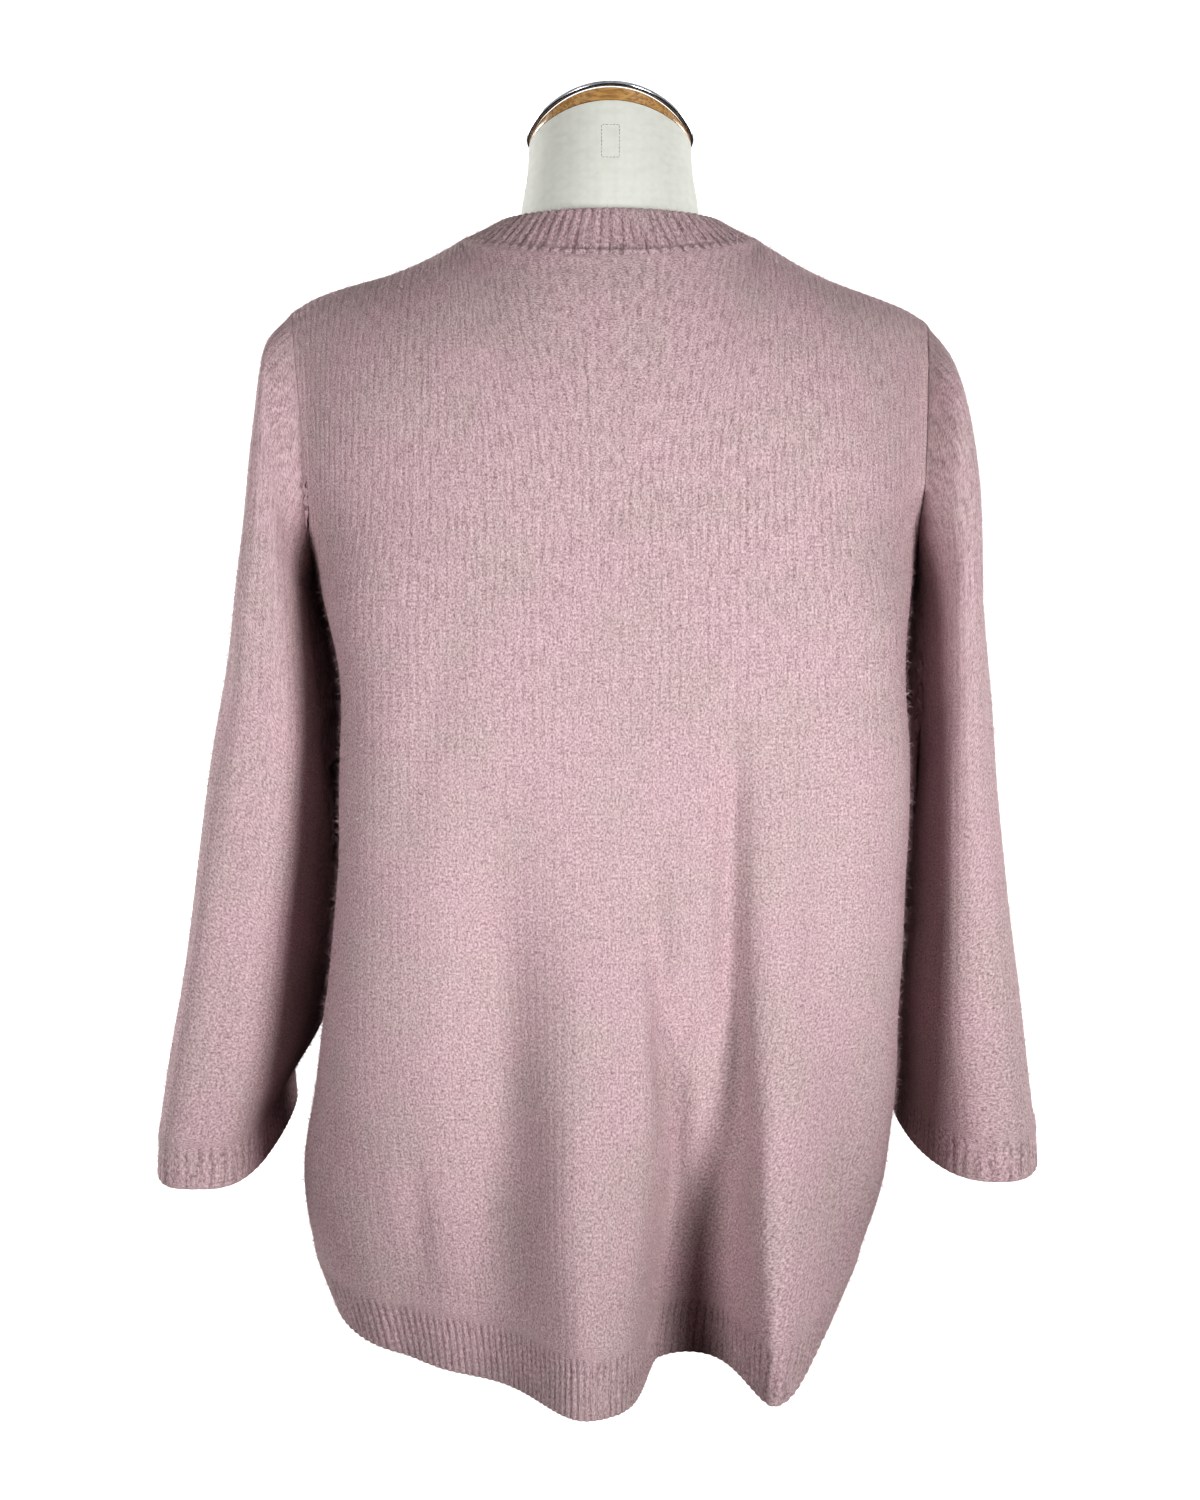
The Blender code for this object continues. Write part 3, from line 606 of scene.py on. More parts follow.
@dataclass(frozen=True)
class PolishedSteel:
    """Drawn steel wire, nickel plated and polished: bright, with hair-fine wear that softens its highlights."""

    name: str = "polished nickel-plated steel"
    colour: str = "#B4B6BA"
    worn: str = "#8E9095"

    def build(self) -> bpy.types.Material:
        """The finish, on Object coordinates."""
        made = Finish(self.name)
        wear = made.noise(made.place(), 220.0, 3.0)
        colour = made.mixed(made.ranged(wear, 0.4, 0.7), linear(self.colour), linear(self.worn))
        return made.shaded(colour, {"Metallic": 1.0, "Roughness": made.ranged(wear, 0.3, 0.7, (0.12, 0.28))})


# ---------------------------------------------------------------- meshes


def laid_grid(grid: Grid, flat: tuple[float, float], closed: bool) -> bmesh.types.BMesh:
    """A quad grid laid on rows and columns of points.

    Args:
        grid: where the points are. The last column of a closed grid lies on its first.
        flat: the width and length of the flat cloth, which its UV map measures in metres.
        closed: whether the columns run all round.

    Returns:
        The open bmesh, with its faces outwards.
    """
    rows, cols = grid.shape[0] - 1, grid.shape[1] - 1
    bm = bmesh.new()
    layer = bm.loops.layers.uv.new("flat")
    bmesh.ops.create_grid(bm, x_segments=cols, y_segments=rows, size=0.5, calc_uvs=True)
    for vert in bm.verts:
        vert.co = grid[round((vert.co.y + 0.5) * rows), round((vert.co.x + 0.5) * cols)]
    for face in bm.faces:
        for loop in face.loops:
            place = loop[layer].uv
            loop[layer].uv = (place.x * flat[0], place.y * flat[1])
    if closed:
        bmesh.ops.remove_doubles(bm, verts=[v for v in bm.verts if v.is_boundary], dist=WELD)
    return bm


def linked(name: str, data: Any) -> bpy.types.Object:
    """An object of its data, in the scene."""
    obj = bpy.data.objects.new(name, data)
    bpy.context.scene.collection.objects.link(obj)
    return obj


def shown(name: str, bm: bmesh.types.BMesh, material: bpy.types.Material) -> bpy.types.Object:
    """An object at the origin made of a finished bmesh, shaded smooth."""
    mesh = bpy.data.meshes.new(name)
    bm.to_mesh(mesh)
    bm.free()
    mesh.shade_smooth()
    mesh.materials.append(material)
    return linked(name, mesh)


def closed_shell(name: str, bm: bmesh.types.BMesh, material: bpy.types.Material) -> bpy.types.Object:
    """An object made of a bmesh whose holes are closed first and whose corners stay crisp."""
    bmesh.ops.holes_fill(bm, edges=[e for e in bm.edges if e.is_boundary], sides=0)
    bmesh.ops.recalc_face_normals(bm, faces=bm.faces)
    obj = shown(name, bm, material)
    obj.data.set_sharp_from_angle(angle=math.radians(SHELL_CORNER))
    return obj


def crisp_edges(angle: float) -> bpy.types.NodeTree:
    """A geometry group that shades an edge crisp where its two faces turn by more than an angle in degrees."""
    made, skin = geometry_group("crisp_edges")
    angles = {0: made.add("GeometryNodeInputMeshEdgeAngle").outputs[0], 1: math.radians(angle)}
    bent = made.add("FunctionNodeCompare", angles, data_type="FLOAT", operation="GREATER_THAN").outputs[0]
    shading = {"Geometry": skin, "Selection": bent, "Shade Smooth": False}
    crisp = made.add("GeometryNodeSetShadeSmooth", shading, domain="EDGE")
    made.add("NodeGroupOutput", {0: crisp.outputs[0]})
    return made.tree


@dataclass(frozen=True)
class Nap:
    """The loose fibre ends that stand out of a piece, as tapered three-sided spikes.

    Args:
        density: fibres on a square metre.
        length: a fibre's length, before each is varied.
        radius: its radius where it leaves the yarn. A real one is thinner, and is drawn as thick as a render can show.
        lean: the least and most degrees that a fibre leans away from straight out.
        scale: the least and most of its length that a fibre has.
    """

    density: float = 60_000.0
    length: float = 0.0060
    radius: float = 0.00011
    lean: tuple[float, float] = (25.0, 80.0)
    scale: tuple[float, float] = (0.45, 1.25)

    @staticmethod
    def drawn(made: Nodes, low: Sequence[float], high: Sequence[float], seed: int) -> Any:
        """The socket of a vector that is drawn for each fibre."""
        limits = {0: tuple(low), 1: tuple(high), "Seed": seed}
        return made.add("FunctionNodeRandomValue", limits, data_type="FLOAT_VECTOR").outputs[0]

    def turned(self, made: Nodes, spikes: Any, low: Sequence[float], high: Sequence[float], seed: int) -> Any:
        """Spikes that are each turned about their own root by angles between low and high, in degrees."""
        angles = self.drawn(made, [math.radians(a) for a in low], [math.radians(a) for a in high], seed)
        return made.add("GeometryNodeRotateInstances", {"Instances": spikes, "Rotation": angles}).outputs[0]

    def group(self, material: bpy.types.Material, seed: int) -> bpy.types.NodeTree:
        """The geometry group that grows fibres on a skin and leaves the skin out."""
        made, skin = geometry_group("raise_nap")
        spread = {"Mesh": skin, "Density": self.density, "Seed": seed}
        points = made.add("GeometryNodeDistributePointsOnFaces", spread, distribute_method="RANDOM")
        sides = {"Vertices": 3, "Side Segments": 1, "Fill Segments": 1}
        shape = {"Radius Top": 0.0, "Radius Bottom": self.radius, "Depth": self.length}
        placing = {
            "Points": points.outputs["Points"],
            "Instance": made.add("GeometryNodeMeshCone", {**sides, **shape}).outputs["Mesh"],
            "Rotation": points.outputs["Rotation"],
            "Scale": self.drawn(made, (1.0, 1.0, self.scale[0]), (1.0, 1.0, self.scale[1]), seed + 1),
        }
        placed = made.add("GeometryNodeInstanceOnPoints", placing).outputs[0]
        spun = self.turned(made, placed, (0.0, 0.0, 0.0), (0.0, 0.0, 360.0), seed + 2)
        leant = self.turned(made, spun, (self.lean[0], 0.0, 0.0), (self.lean[1], 0.0, 0.0), seed + 3)
        real = made.add("GeometryNodeRealizeInstances", {0: leant}).outputs[0]
        dressed = made.add("GeometryNodeSetMaterial", {"Geometry": real, "Material": material})
        made.add("NodeGroupOutput", {0: dressed.outputs[0]})
        return made.tree

    def grown(self, name: str, skin: bpy.types.Object, material: bpy.types.Material, seed: int) -> bpy.types.Object:
        """A piece of fibres grown on a skin.

        Args:
            name: the new piece's name.
            skin: the outer skin, which is removed.
            material: the fibres' finish.
            seed: the piece's own seed.

        Returns:
            The fibres as one mesh.
        """
        skin.modifiers.new("nap", "NODES").node_group = self.group(material, seed)
        graph = bpy.context.evaluated_depsgraph_get()
        mesh = bpy.data.meshes.new_from_object(skin.evaluated_get(graph))
        mesh.name = name
        bpy.data.objects.remove(skin, do_unlink=True)
        return linked(name, mesh)


# ---------------------------------------------------------------- the knitted pieces


@dataclass
class KnitPiece:
    """One knitted piece: its worn shape, its stitches and its wall.

    Args:
        name: the piece's name.
        node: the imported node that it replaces.
        grid: its outer skin without stitches, columns across the wales and rows along them.
        closed: whether the columns run all round.
        stitch: how it is knitted.
        wales: how many wales, or ribs, lie across it.
        pitch: metres from one to the next in the flat cloth.
        length: metres along the wales in the flat cloth.
        free_first: whether the first row is a free edge.
        free_last: whether the last row is.
    """

    name: str
    node: str
    grid: Grid
    closed: bool
    stitch: Stitch
    wales: int
    pitch: float
    length: float
    free_first: bool = False
    free_last: bool = False
    wall: float = 0.0026
    wale_rise: float = 0.00025
    rib_rise: float = 0.00090
    rib_fade: float = 0.0040  # over which a rib flattens towards its seam
    seam_sink: float = 0.00005
    seam_width: float = 0.0018
    edge_roll: float = 0.0013
    inset: float = 0.0009  # the nap and the stitches stand out of the skin, so the skin starts this far in
    inset_fade: float = 0.008  # metres from a seam over which that inset grows
    rib_crown: float = 1.3  # the exponents of a rib's and a wale's section
    wale_crown: float = 3.0

    @property
    def flat(self) -> tuple[float, float]:
        """The width and length of the flat cloth."""
        return (self.wales * self.pitch, self.length)

    def relief(self) -> np.ndarray:
        """How far the stitches and seams move each point of the skin outwards."""
        sewn = edge_distance(self.grid, self.closed, self.free_first, self.free_last)
        phase = np.linspace(0.0, self.wales, self.grid.shape[1]) % 1.0
        from_groove = 1 - np.abs(2 * phase - 1)
        if self.stitch is Stitch.RIB:
            risen = self.rib_rise * np.sin(from_groove * np.pi / 2) ** self.rib_crown
            stitches = risen * level_ends(sewn / self.rib_fade)
        else:
            risen = self.wale_rise * (1 - (1 - from_groove) ** self.wale_crown)
            stitches = np.broadcast_to(risen, sewn.shape)
        rolled = np.zeros_like(sewn)
        if self.free_first or self.free_last:
            free = edge_distance(self.grid, True, not self.free_first, not self.free_last)
            inside = np.clip(1 - free / self.edge_roll, 0.0, 1.0)
            rolled = self.edge_roll * (1 - np.sqrt(1 - inside**2))
        sunk = self.seam_sink * bell(sewn / self.seam_width) + self.inset * level_ends(sewn / self.inset_fade)
        return stitches * level_ends(sewn / self.seam_width) - sunk - rolled

    def skin(self) -> bmesh.types.BMesh:
        """The outer skin with its stitches raised."""
        outwards = outwards_of(self.grid, self.closed)
        raised = self.grid + outwards * self.relief()[..., None]
        if self.closed:
            raised[:, -1] = raised[:, 0]
        return laid_grid(raised, self.flat, self.closed)

    def build(self, finish: bpy.types.Material) -> bpy.types.Object:
        """The piece as a wall of cloth."""
        obj = shown(self.name, self.skin(), finish)
        wall = obj.modifiers.new("wall", "SOLIDIFY")
        wall.thickness = self.wall
        wall.offset = -1.0
        wall.use_quality_normals = True
        obj.modifiers.new("cut edges", "NODES").node_group = crisp_edges(CLOTH_CORNER)
        return obj


@dataclass(frozen=True)
class Creases:
    """Soft troughs and ridges of the worn cloth, and the slight unevenness between them.

    A row's line runs from its low end to its high end, in x and z on the body and in turns round the sleeve and
    share of its length on a sleeve. A positive depth is a ridge.
    """

    body: Table = Table(
        ("side", "x_low", "z_low", "x_high", "z_high", "width", "depth"),
        (
            (-1, 0.0720, 0.060, 0.0740, 0.450, 0.0095, -0.0130),
            (-1, 0.1015, 0.080, 0.1040, 0.420, 0.0160, 0.0040),
            (-1, 0.1450, 0.050, 0.1500, 0.300, 0.0200, -0.0040),
            (-1, 0.0440, 0.140, 0.0230, 0.340, 0.0100, -0.0095),
            (-1, 0.0905, 0.030, 0.0950, 0.215, 0.0055, 0.0022),
            (-1, -0.0700, 0.030, -0.0680, 0.390, 0.0240, -0.0150),
            (-1, -0.0210, 0.050, -0.0160, 0.350, 0.0200, 0.0045),
            (-1, -0.1180, 0.050, -0.1230, 0.160, 0.0100, -0.0030),
            (-1, 0.0530, 0.050, 0.0470, 0.230, 0.0090, 0.0032),
            (-1, 0.1250, 0.180, 0.1330, 0.420, 0.0170, -0.0028),
            (-1, -0.1350, 0.300, -0.0900, 0.500, 0.0150, -0.0022),
            (1, 0.0900, 0.150, 0.0750, 0.420, 0.0140, -0.0030),
            (1, -0.0200, 0.180, -0.0300, 0.400, 0.0120, -0.0026),
            (1, -0.1300, 0.100, -0.1150, 0.300, 0.0150, -0.0030),
            (1, 0.1400, 0.280, 0.0950, 0.500, 0.0160, -0.0026),
            (1, 0.0450, 0.030, 0.0420, 0.200, 0.0100, 0.0024),
            (1, -0.0900, 0.380, -0.0500, 0.520, 0.0160, -0.0022),
        ),
    )
    sleeve: Table = Table(
        ("arm", "turn_low", "share_low", "turn_high", "share_high", "width", "depth"),
        (
            (-1, 0.90, 0.10, 0.78, 0.75, 0.030, -0.0035),
            (-1, 0.70, 0.25, 0.66, 0.95, 0.028, 0.0026),
            (-1, 0.22, 0.15, 0.30, 0.80, 0.035, -0.0032),
            (-1, 0.10, 0.40, 0.16, 0.95, 0.026, 0.0024),
            (1, 0.10, 0.08, 0.23, 0.70, 0.030, -0.0035),
            (1, 0.32, 0.30, 0.29, 0.92, 0.026, 0.0024),
            (1, 0.72, 0.10, 0.68, 0.85, 0.034, -0.0032),
            (1, 0.88, 0.35, 0.83, 0.95, 0.026, 0.0026),
        ),
    )
    fading: float = 1.3  # the exponent with which a crease fades towards its ends
    waves: tuple[tuple[float, float, float], ...] = (  # radians a metre across and along, and where each starts
        (61.0, 23.0, 0.4),
        (37.0, -52.0, 1.9),
        (89.0, 71.0, 4.1),
        (17.0, 41.0, 2.7),
    )
    uneven: float = 0.0005
    body_edge: float = 0.02  # metres over which the creases fade at the side seams
    body_top: tuple[float, float] = (0.6, 0.06)  # the height from which they fade upwards, and over what height
    sleeve_ends: tuple[float, float] = (0.08, 0.02)  # shares of a sleeve's length over which they fade
    sleeve_size: tuple[float, float] = (0.06, 0.5)  # a sleeve's radius and length, for its unevenness

    def along_lines(self, table: Table, key: float, across: np.ndarray, along: np.ndarray) -> np.ndarray:
        """How far the rows of one side or arm move points, from their places across and along the piece."""
        total = np.zeros_like(across)
        for row_key, a_low, b_low, a_high, b_high, width, depth in table.rows:
            if row_key != key:
                continue
            share = (along - b_low) / (b_high - b_low)
            away = across - (a_low + (a_high - a_low) * share)
            fading = np.sin(np.pi * np.clip(share, 0.0, 1.0)) ** self.fading
            total += depth * fading * bell(away / width)
        return total

    def waviness(self, across: np.ndarray, along: np.ndarray) -> np.ndarray:
        """A slight unevenness of the cloth, from places in metres."""
        return self.uneven * sum(np.sin(a * across + b * along + c) for a, b, c in self.waves) / 2

    def on_body(self, grid: Grid, side: Side) -> Grid:
        """A body panel's grid with its creases."""
        x, z = grid[..., 0], grid[..., 2]
        depth = self.along_lines(self.body, side.value, x, z) + self.waviness(x, z)
        sewn = level_ends(edge_distance(grid, False, True, True) / self.body_edge)
        low = 1 - level_ends((z - self.body_top[0]) / self.body_top[1])
        outwards = outwards_of(grid, False) * (1.0 if side is Side.BACK else -1.0)
        return grid + outwards * (depth * sewn * low)[..., None]

    def on_sleeve(self, grid: Grid, arm: Arm) -> Grid:
        """A sleeve's grid with its creases."""
        rows, cols = grid.shape[:2]
        turn = np.broadcast_to(np.linspace(0.0, 1.0, cols), (rows, cols))
        share = np.broadcast_to(np.linspace(0.0, 1.0, rows)[:, None], (rows, cols))
        depth = self.along_lines(self.sleeve, arm.value, turn, share)
        radius, length = self.sleeve_size
        depth = depth + self.waviness(np.sin(2 * np.pi * turn) * radius, share * length)
        sewn = level_ends(share / self.sleeve_ends[0]) * level_ends((1 - share) / self.sleeve_ends[1])
        return grid + outwards_of(grid, True) * (depth * sewn)[..., None]


@dataclass
class WornBody:
    """The pullover's body as it hangs: level sections up to the chest, then rounding over to the shoulders."""

    hem_z: float = 0.008
    hem_seam_z: float = 0.045
    underarm_z: float = 0.380
    chest_z: float = 0.560
    side_seam_y: float = 0.020
    roundness: Table = Table(
        ("z", "back", "front"),
        (
            (0.008, 2.40, 2.4),
            (0.095, 2.60, 2.5),
            (0.220, 3.40, 2.5),
            (0.380, 3.80, 2.5),
            (0.470, 3.30, 2.5),
            (0.530, 2.60, 2.5),
            (0.560, 2.40, 2.5),
        ),
    )
    edge_flare: float = 0.011
    tuck_width: float = 0.040  # how far from its edge the back is drawn in under the arm
    tuck_side: float = 0.25  # the same along the section, as a share of its half width
    fold_fade: float = 8.0  # the exponent that keeps the folds away from the side seams
    neck_blend: float = 26.0  # columns over which the corner of neck and shoulder is eased
    blend_reach: int = 60  # columns that count towards one eased column, on either side
    blend_share: float = 1.6  # how much wider than that the easing itself fades
    top_length: float = 0.17  # metres from the chest over the shoulder to the top edge
    fold_spread: float = 0.5
    even_half: float = 0.236  # half the section at the chest, along which the wales keep their pitch
    fine_steps: int = 1600
    shoulder_cols: int = 120
    neck_cols: int = 160
    low_rows: int = 46
    arm_rows: int = 25
    top_rows: int = 29
    turn_at_neck: dict[Side, float] = field(default_factory=lambda: {Side.BACK: 50.0, Side.FRONT: 62.0})
    girth: Table = Table(
        ("z", "left", "right", "back", "front"),
        (
            (0.008, 0.190, 0.158, 0.153, 0.150),
            (0.045, 0.203, 0.173, 0.152, 0.152),
            (0.095, 0.210, 0.188, 0.149, 0.153),
            (0.150, 0.202, 0.193, 0.146, 0.152),
            (0.220, 0.190, 0.194, 0.141, 0.150),
            (0.300, 0.181, 0.196, 0.134, 0.147),
            (0.380, 0.178, 0.197, 0.127, 0.144),
            (0.440, 0.181, 0.197, 0.121, 0.142),
            (0.500, 0.199, 0.208, 0.115, 0.134),
            (0.560, 0.212, 0.221, 0.110, 0.122),
        ),
    )
    armhole: Table = Table(
        ("z", "back", "front", "out", "tuck_left", "tuck_right"),
        (
            (0.380, -0.020, 0.020, 0.005, 0.000, 0.000),
            (0.410, 0.000, 0.040, 0.003, 0.025, 0.026),
            (0.440, 0.011, 0.050, 0.001, 0.040, 0.042),
            (0.470, 0.022, 0.057, 0.001, 0.042, 0.046),
            (0.500, 0.037, 0.061, 0.001, 0.033, 0.044),
            (0.530, 0.051, 0.062, 0.000, 0.015, 0.034),
            (0.560, 0.056, 0.062, 0.000, 0.004, 0.018),
        ),
    )
    shoulder: Table = Table(
        ("x", "z"),
        (
            (0.098, 0.7140),
            (0.105, 0.7100),
            (0.120, 0.7018),
            (0.142, 0.6920),
            (0.165, 0.6845),
            (0.182, 0.6789),
            (0.195, 0.6735),
            (0.206, 0.6668),
        ),
    )
    folds: Table = Table(
        ("side", "x_hem", "x_top", "z_top", "left_width", "right_width", "depth"),
        (
            (-1, -0.0153, -0.0120, 0.310, 0.036, 0.046, 0.048),
            (-1, 0.0303, 0.0600, 0.340, 0.011, 0.052, -0.052),
            (-1, 0.0979, 0.0960, 0.310, 0.020, 0.034, 0.066),
            (-1, -0.1280, -0.1330, 0.150, 0.016, 0.018, -0.005),
            (1, -0.1100, -0.0800, 0.330, 0.026, 0.032, 0.024),
            (1, -0.0450, -0.0600, 0.380, 0.024, 0.030, -0.022),
            (1, 0.0200, 0.0120, 0.400, 0.034, 0.030, 0.026),
            (1, 0.0700, 0.0560, 0.350, 0.022, 0.026, -0.020),
            (1, 0.1120, 0.1040, 0.280, 0.022, 0.024, 0.022),
        ),
    )
    neck_seam: NeckRing = NeckRing(0.098, 0.084, 0.092, 0.6935, 0.7140, 0.6520)
    drop: ShoulderDrop = ShoulderDrop()
    creases: Creases = Creases()

    @property
    def cols(self) -> int:
        """Columns of a panel."""
        return 2 * self.shoulder_cols + self.neck_cols

    def fold_offset(self, side: Side, x: np.ndarray, z: float) -> np.ndarray:
        """How far the large folds move a panel outwards at places of one height."""
        total = np.zeros_like(x)
        for row_side, x_hem, x_top, z_top, left_width, right_width, depth in self.folds.rows:
            if row_side != side.value or z >= z_top:
                continue
            share = (z - self.hem_z) / (z_top - self.hem_z)
            away = x - (x_hem + (x_top - x_hem) * share)
            width = np.where(away < 0, left_width, right_width) * (1 + self.fold_spread * share)
            total += depth * level_ends(1 - share) * bell(away / width)
        return total

    def section(self, side: Side, z: float, cols: int) -> np.ndarray:
        """A level section of a panel, from the wearer's left edge to the right one."""
        facing = side.value
        above = z > self.underarm_z
        lean = (self.chest_z - z) / (self.chest_z - self.underarm_z) if above else 1.0
        centre_y = self.side_seam_y * lean
        depth = self.girth.read(side.column, z) - facing * centre_y
        seam = self.armhole.read(side.column, z) if above else facing * self.side_seam_y
        edge = max(float(seam - facing * centre_y), 0.0)
        out = self.armhole.read("out", z) if z >= self.underarm_z else 0.0
        roundness = float(self.roundness.read(side.column, z))
        first = math.asin(min((edge / depth) ** (roundness / 2), 1.0))
        angles = np.linspace(first, np.pi - first, self.fine_steps)
        half = np.where(angles < np.pi / 2, self.girth.read("left", z), self.girth.read("right", z))
        x = -half * signed_power(np.cos(angles), 2 / roundness)
        reach = depth * np.abs(np.sin(angles)) ** (2 / roundness)
        x -= np.sign(np.cos(angles)) * out * bell((reach - edge) / self.edge_flare)
        reach = reach + self.fold_offset(side, x, z) * (1 - np.abs(np.cos(angles)) ** self.fold_fade)
        y = centre_y + facing * reach
        if side is Side.BACK and above:
            tuck = np.where(x < 0, self.armhole.read("tuck_left", z), self.armhole.read("tuck_right", z))
            y = y + tuck * bell((reach - edge) / self.tuck_width) * bell((np.abs(x) / half - 1) / self.tuck_side)
        return resampled(np.stack((x, y, np.full_like(x, z)), axis=-1), cols, self.even_half)

    def top_shares(self) -> np.ndarray:
        """Shares of the way from the chest to the top edge at which the top rows lie."""
        return steps(self.top_rows, self.top_length, near_last=BESIDE_SEAM)

    def panel(self, side: Side) -> Grid:
        """The outer skin of the back or the front, rows from the hem seam up and columns from left to right."""
        low = steps(self.low_rows, self.underarm_z - self.hem_seam_z, near_first=BESIDE_SEAM)
        heights = self.hem_seam_z + (self.underarm_z - self.hem_seam_z) * low[:-1]
        arm = self.underarm_z + (self.chest_z - self.underarm_z) * np.linspace(0, 1, self.arm_rows + 1)
        rows = np.array([self.section(side, float(z), self.cols) for z in (*heights, *arm)])
        turns = column_turns(self.shoulder_cols, self.neck_cols, self.turn_at_neck[side])
        shares = self.top_shares()[1:]
        edge = top_edge(side, self.shoulder, self.neck_seam, (self.shoulder_cols, self.neck_cols))
        top = self.eased_corners(round_over(rows[-1], edge, turns, shares), shares)
        return self.creases.on_body(self.drop.applied(np.concatenate((rows, top))), side)

    def eased_corners(self, top: Grid, shares: np.ndarray) -> Grid:
        """The top rows with the corner between neck and shoulder eased, more so further down from the seam."""
        result = top.copy()
        columns = np.arange(top.shape[1])
        reach = np.arange(-self.blend_reach, self.blend_reach + 1)
        corners = (self.shoulder_cols, self.shoulder_cols + self.neck_cols)
        for i, share in enumerate(shares[:-1]):
            spread = self.neck_blend * math.sqrt(1 - float(share))
            weights = bell(reach / spread)
            weights = weights / weights.sum()
            ends = (self.blend_reach, self.blend_reach)
            padded = np.pad(top[i], (ends, (0, 0)), mode="reflect", reflect_type="odd")
            soft = np.stack([np.convolve(padded[:, axis], weights, "valid") for axis in range(3)], -1)
            near = sum(bell((columns - corner) / (self.blend_share * spread)) for corner in corners)
            result[i] = top[i] + (soft - top[i]) * np.clip(near, 0.0, 1.0)[:, None]
        return result

    def hem(self, side: Side, cols: int, rows: int) -> Grid:
        """The outer skin of a hem rib, rows from the free edge up to its seam."""
        shares = steps(rows, self.hem_seam_z - self.hem_z, BESIDE_EDGE, BESIDE_SEAM)
        heights = self.hem_z + (self.hem_seam_z - self.hem_z) * shares
        grid = np.array([self.section(side, float(z), cols) for z in heights])
        return self.creases.on_body(grid, side)

    def armhole_loop(self, back: Grid, front: Grid, arm: Arm, turns: np.ndarray) -> np.ndarray:
        """The armhole's points off the panels' edges: shoulder tip, down one side, underarm, up the other.

        Args:
            back: the back panel, columns from left to right.
            front: the front panel, the same way round.
            arm: the arm that it is for.
            turns: where the points lie, as shares of the way round.

        Returns:
            A point for each turn.
        """
        edge = 0 if arm is Arm.LEFT else -1
        underarm = len(back) - 1 - (self.arm_rows + self.top_rows + 2)
        first, second = (front, back) if arm is Arm.LEFT else (back, front)
        down, up = first[underarm:, edge][::-1], second[underarm:, edge]
        top_shares = (1 - self.top_shares())[::-1]
        arm_shares = 1 + np.linspace(0, 1, self.arm_rows + 1)[1:]
        half = np.concatenate((top_shares, arm_shares)) / 4
        at = np.concatenate((half, 1 - half[::-1][1:]))
        return read_along(turns, at, np.concatenate((down, up[1:])))


SLEEVE_NAMES = ("share", "outer", "inner", "back", "front", "toe")


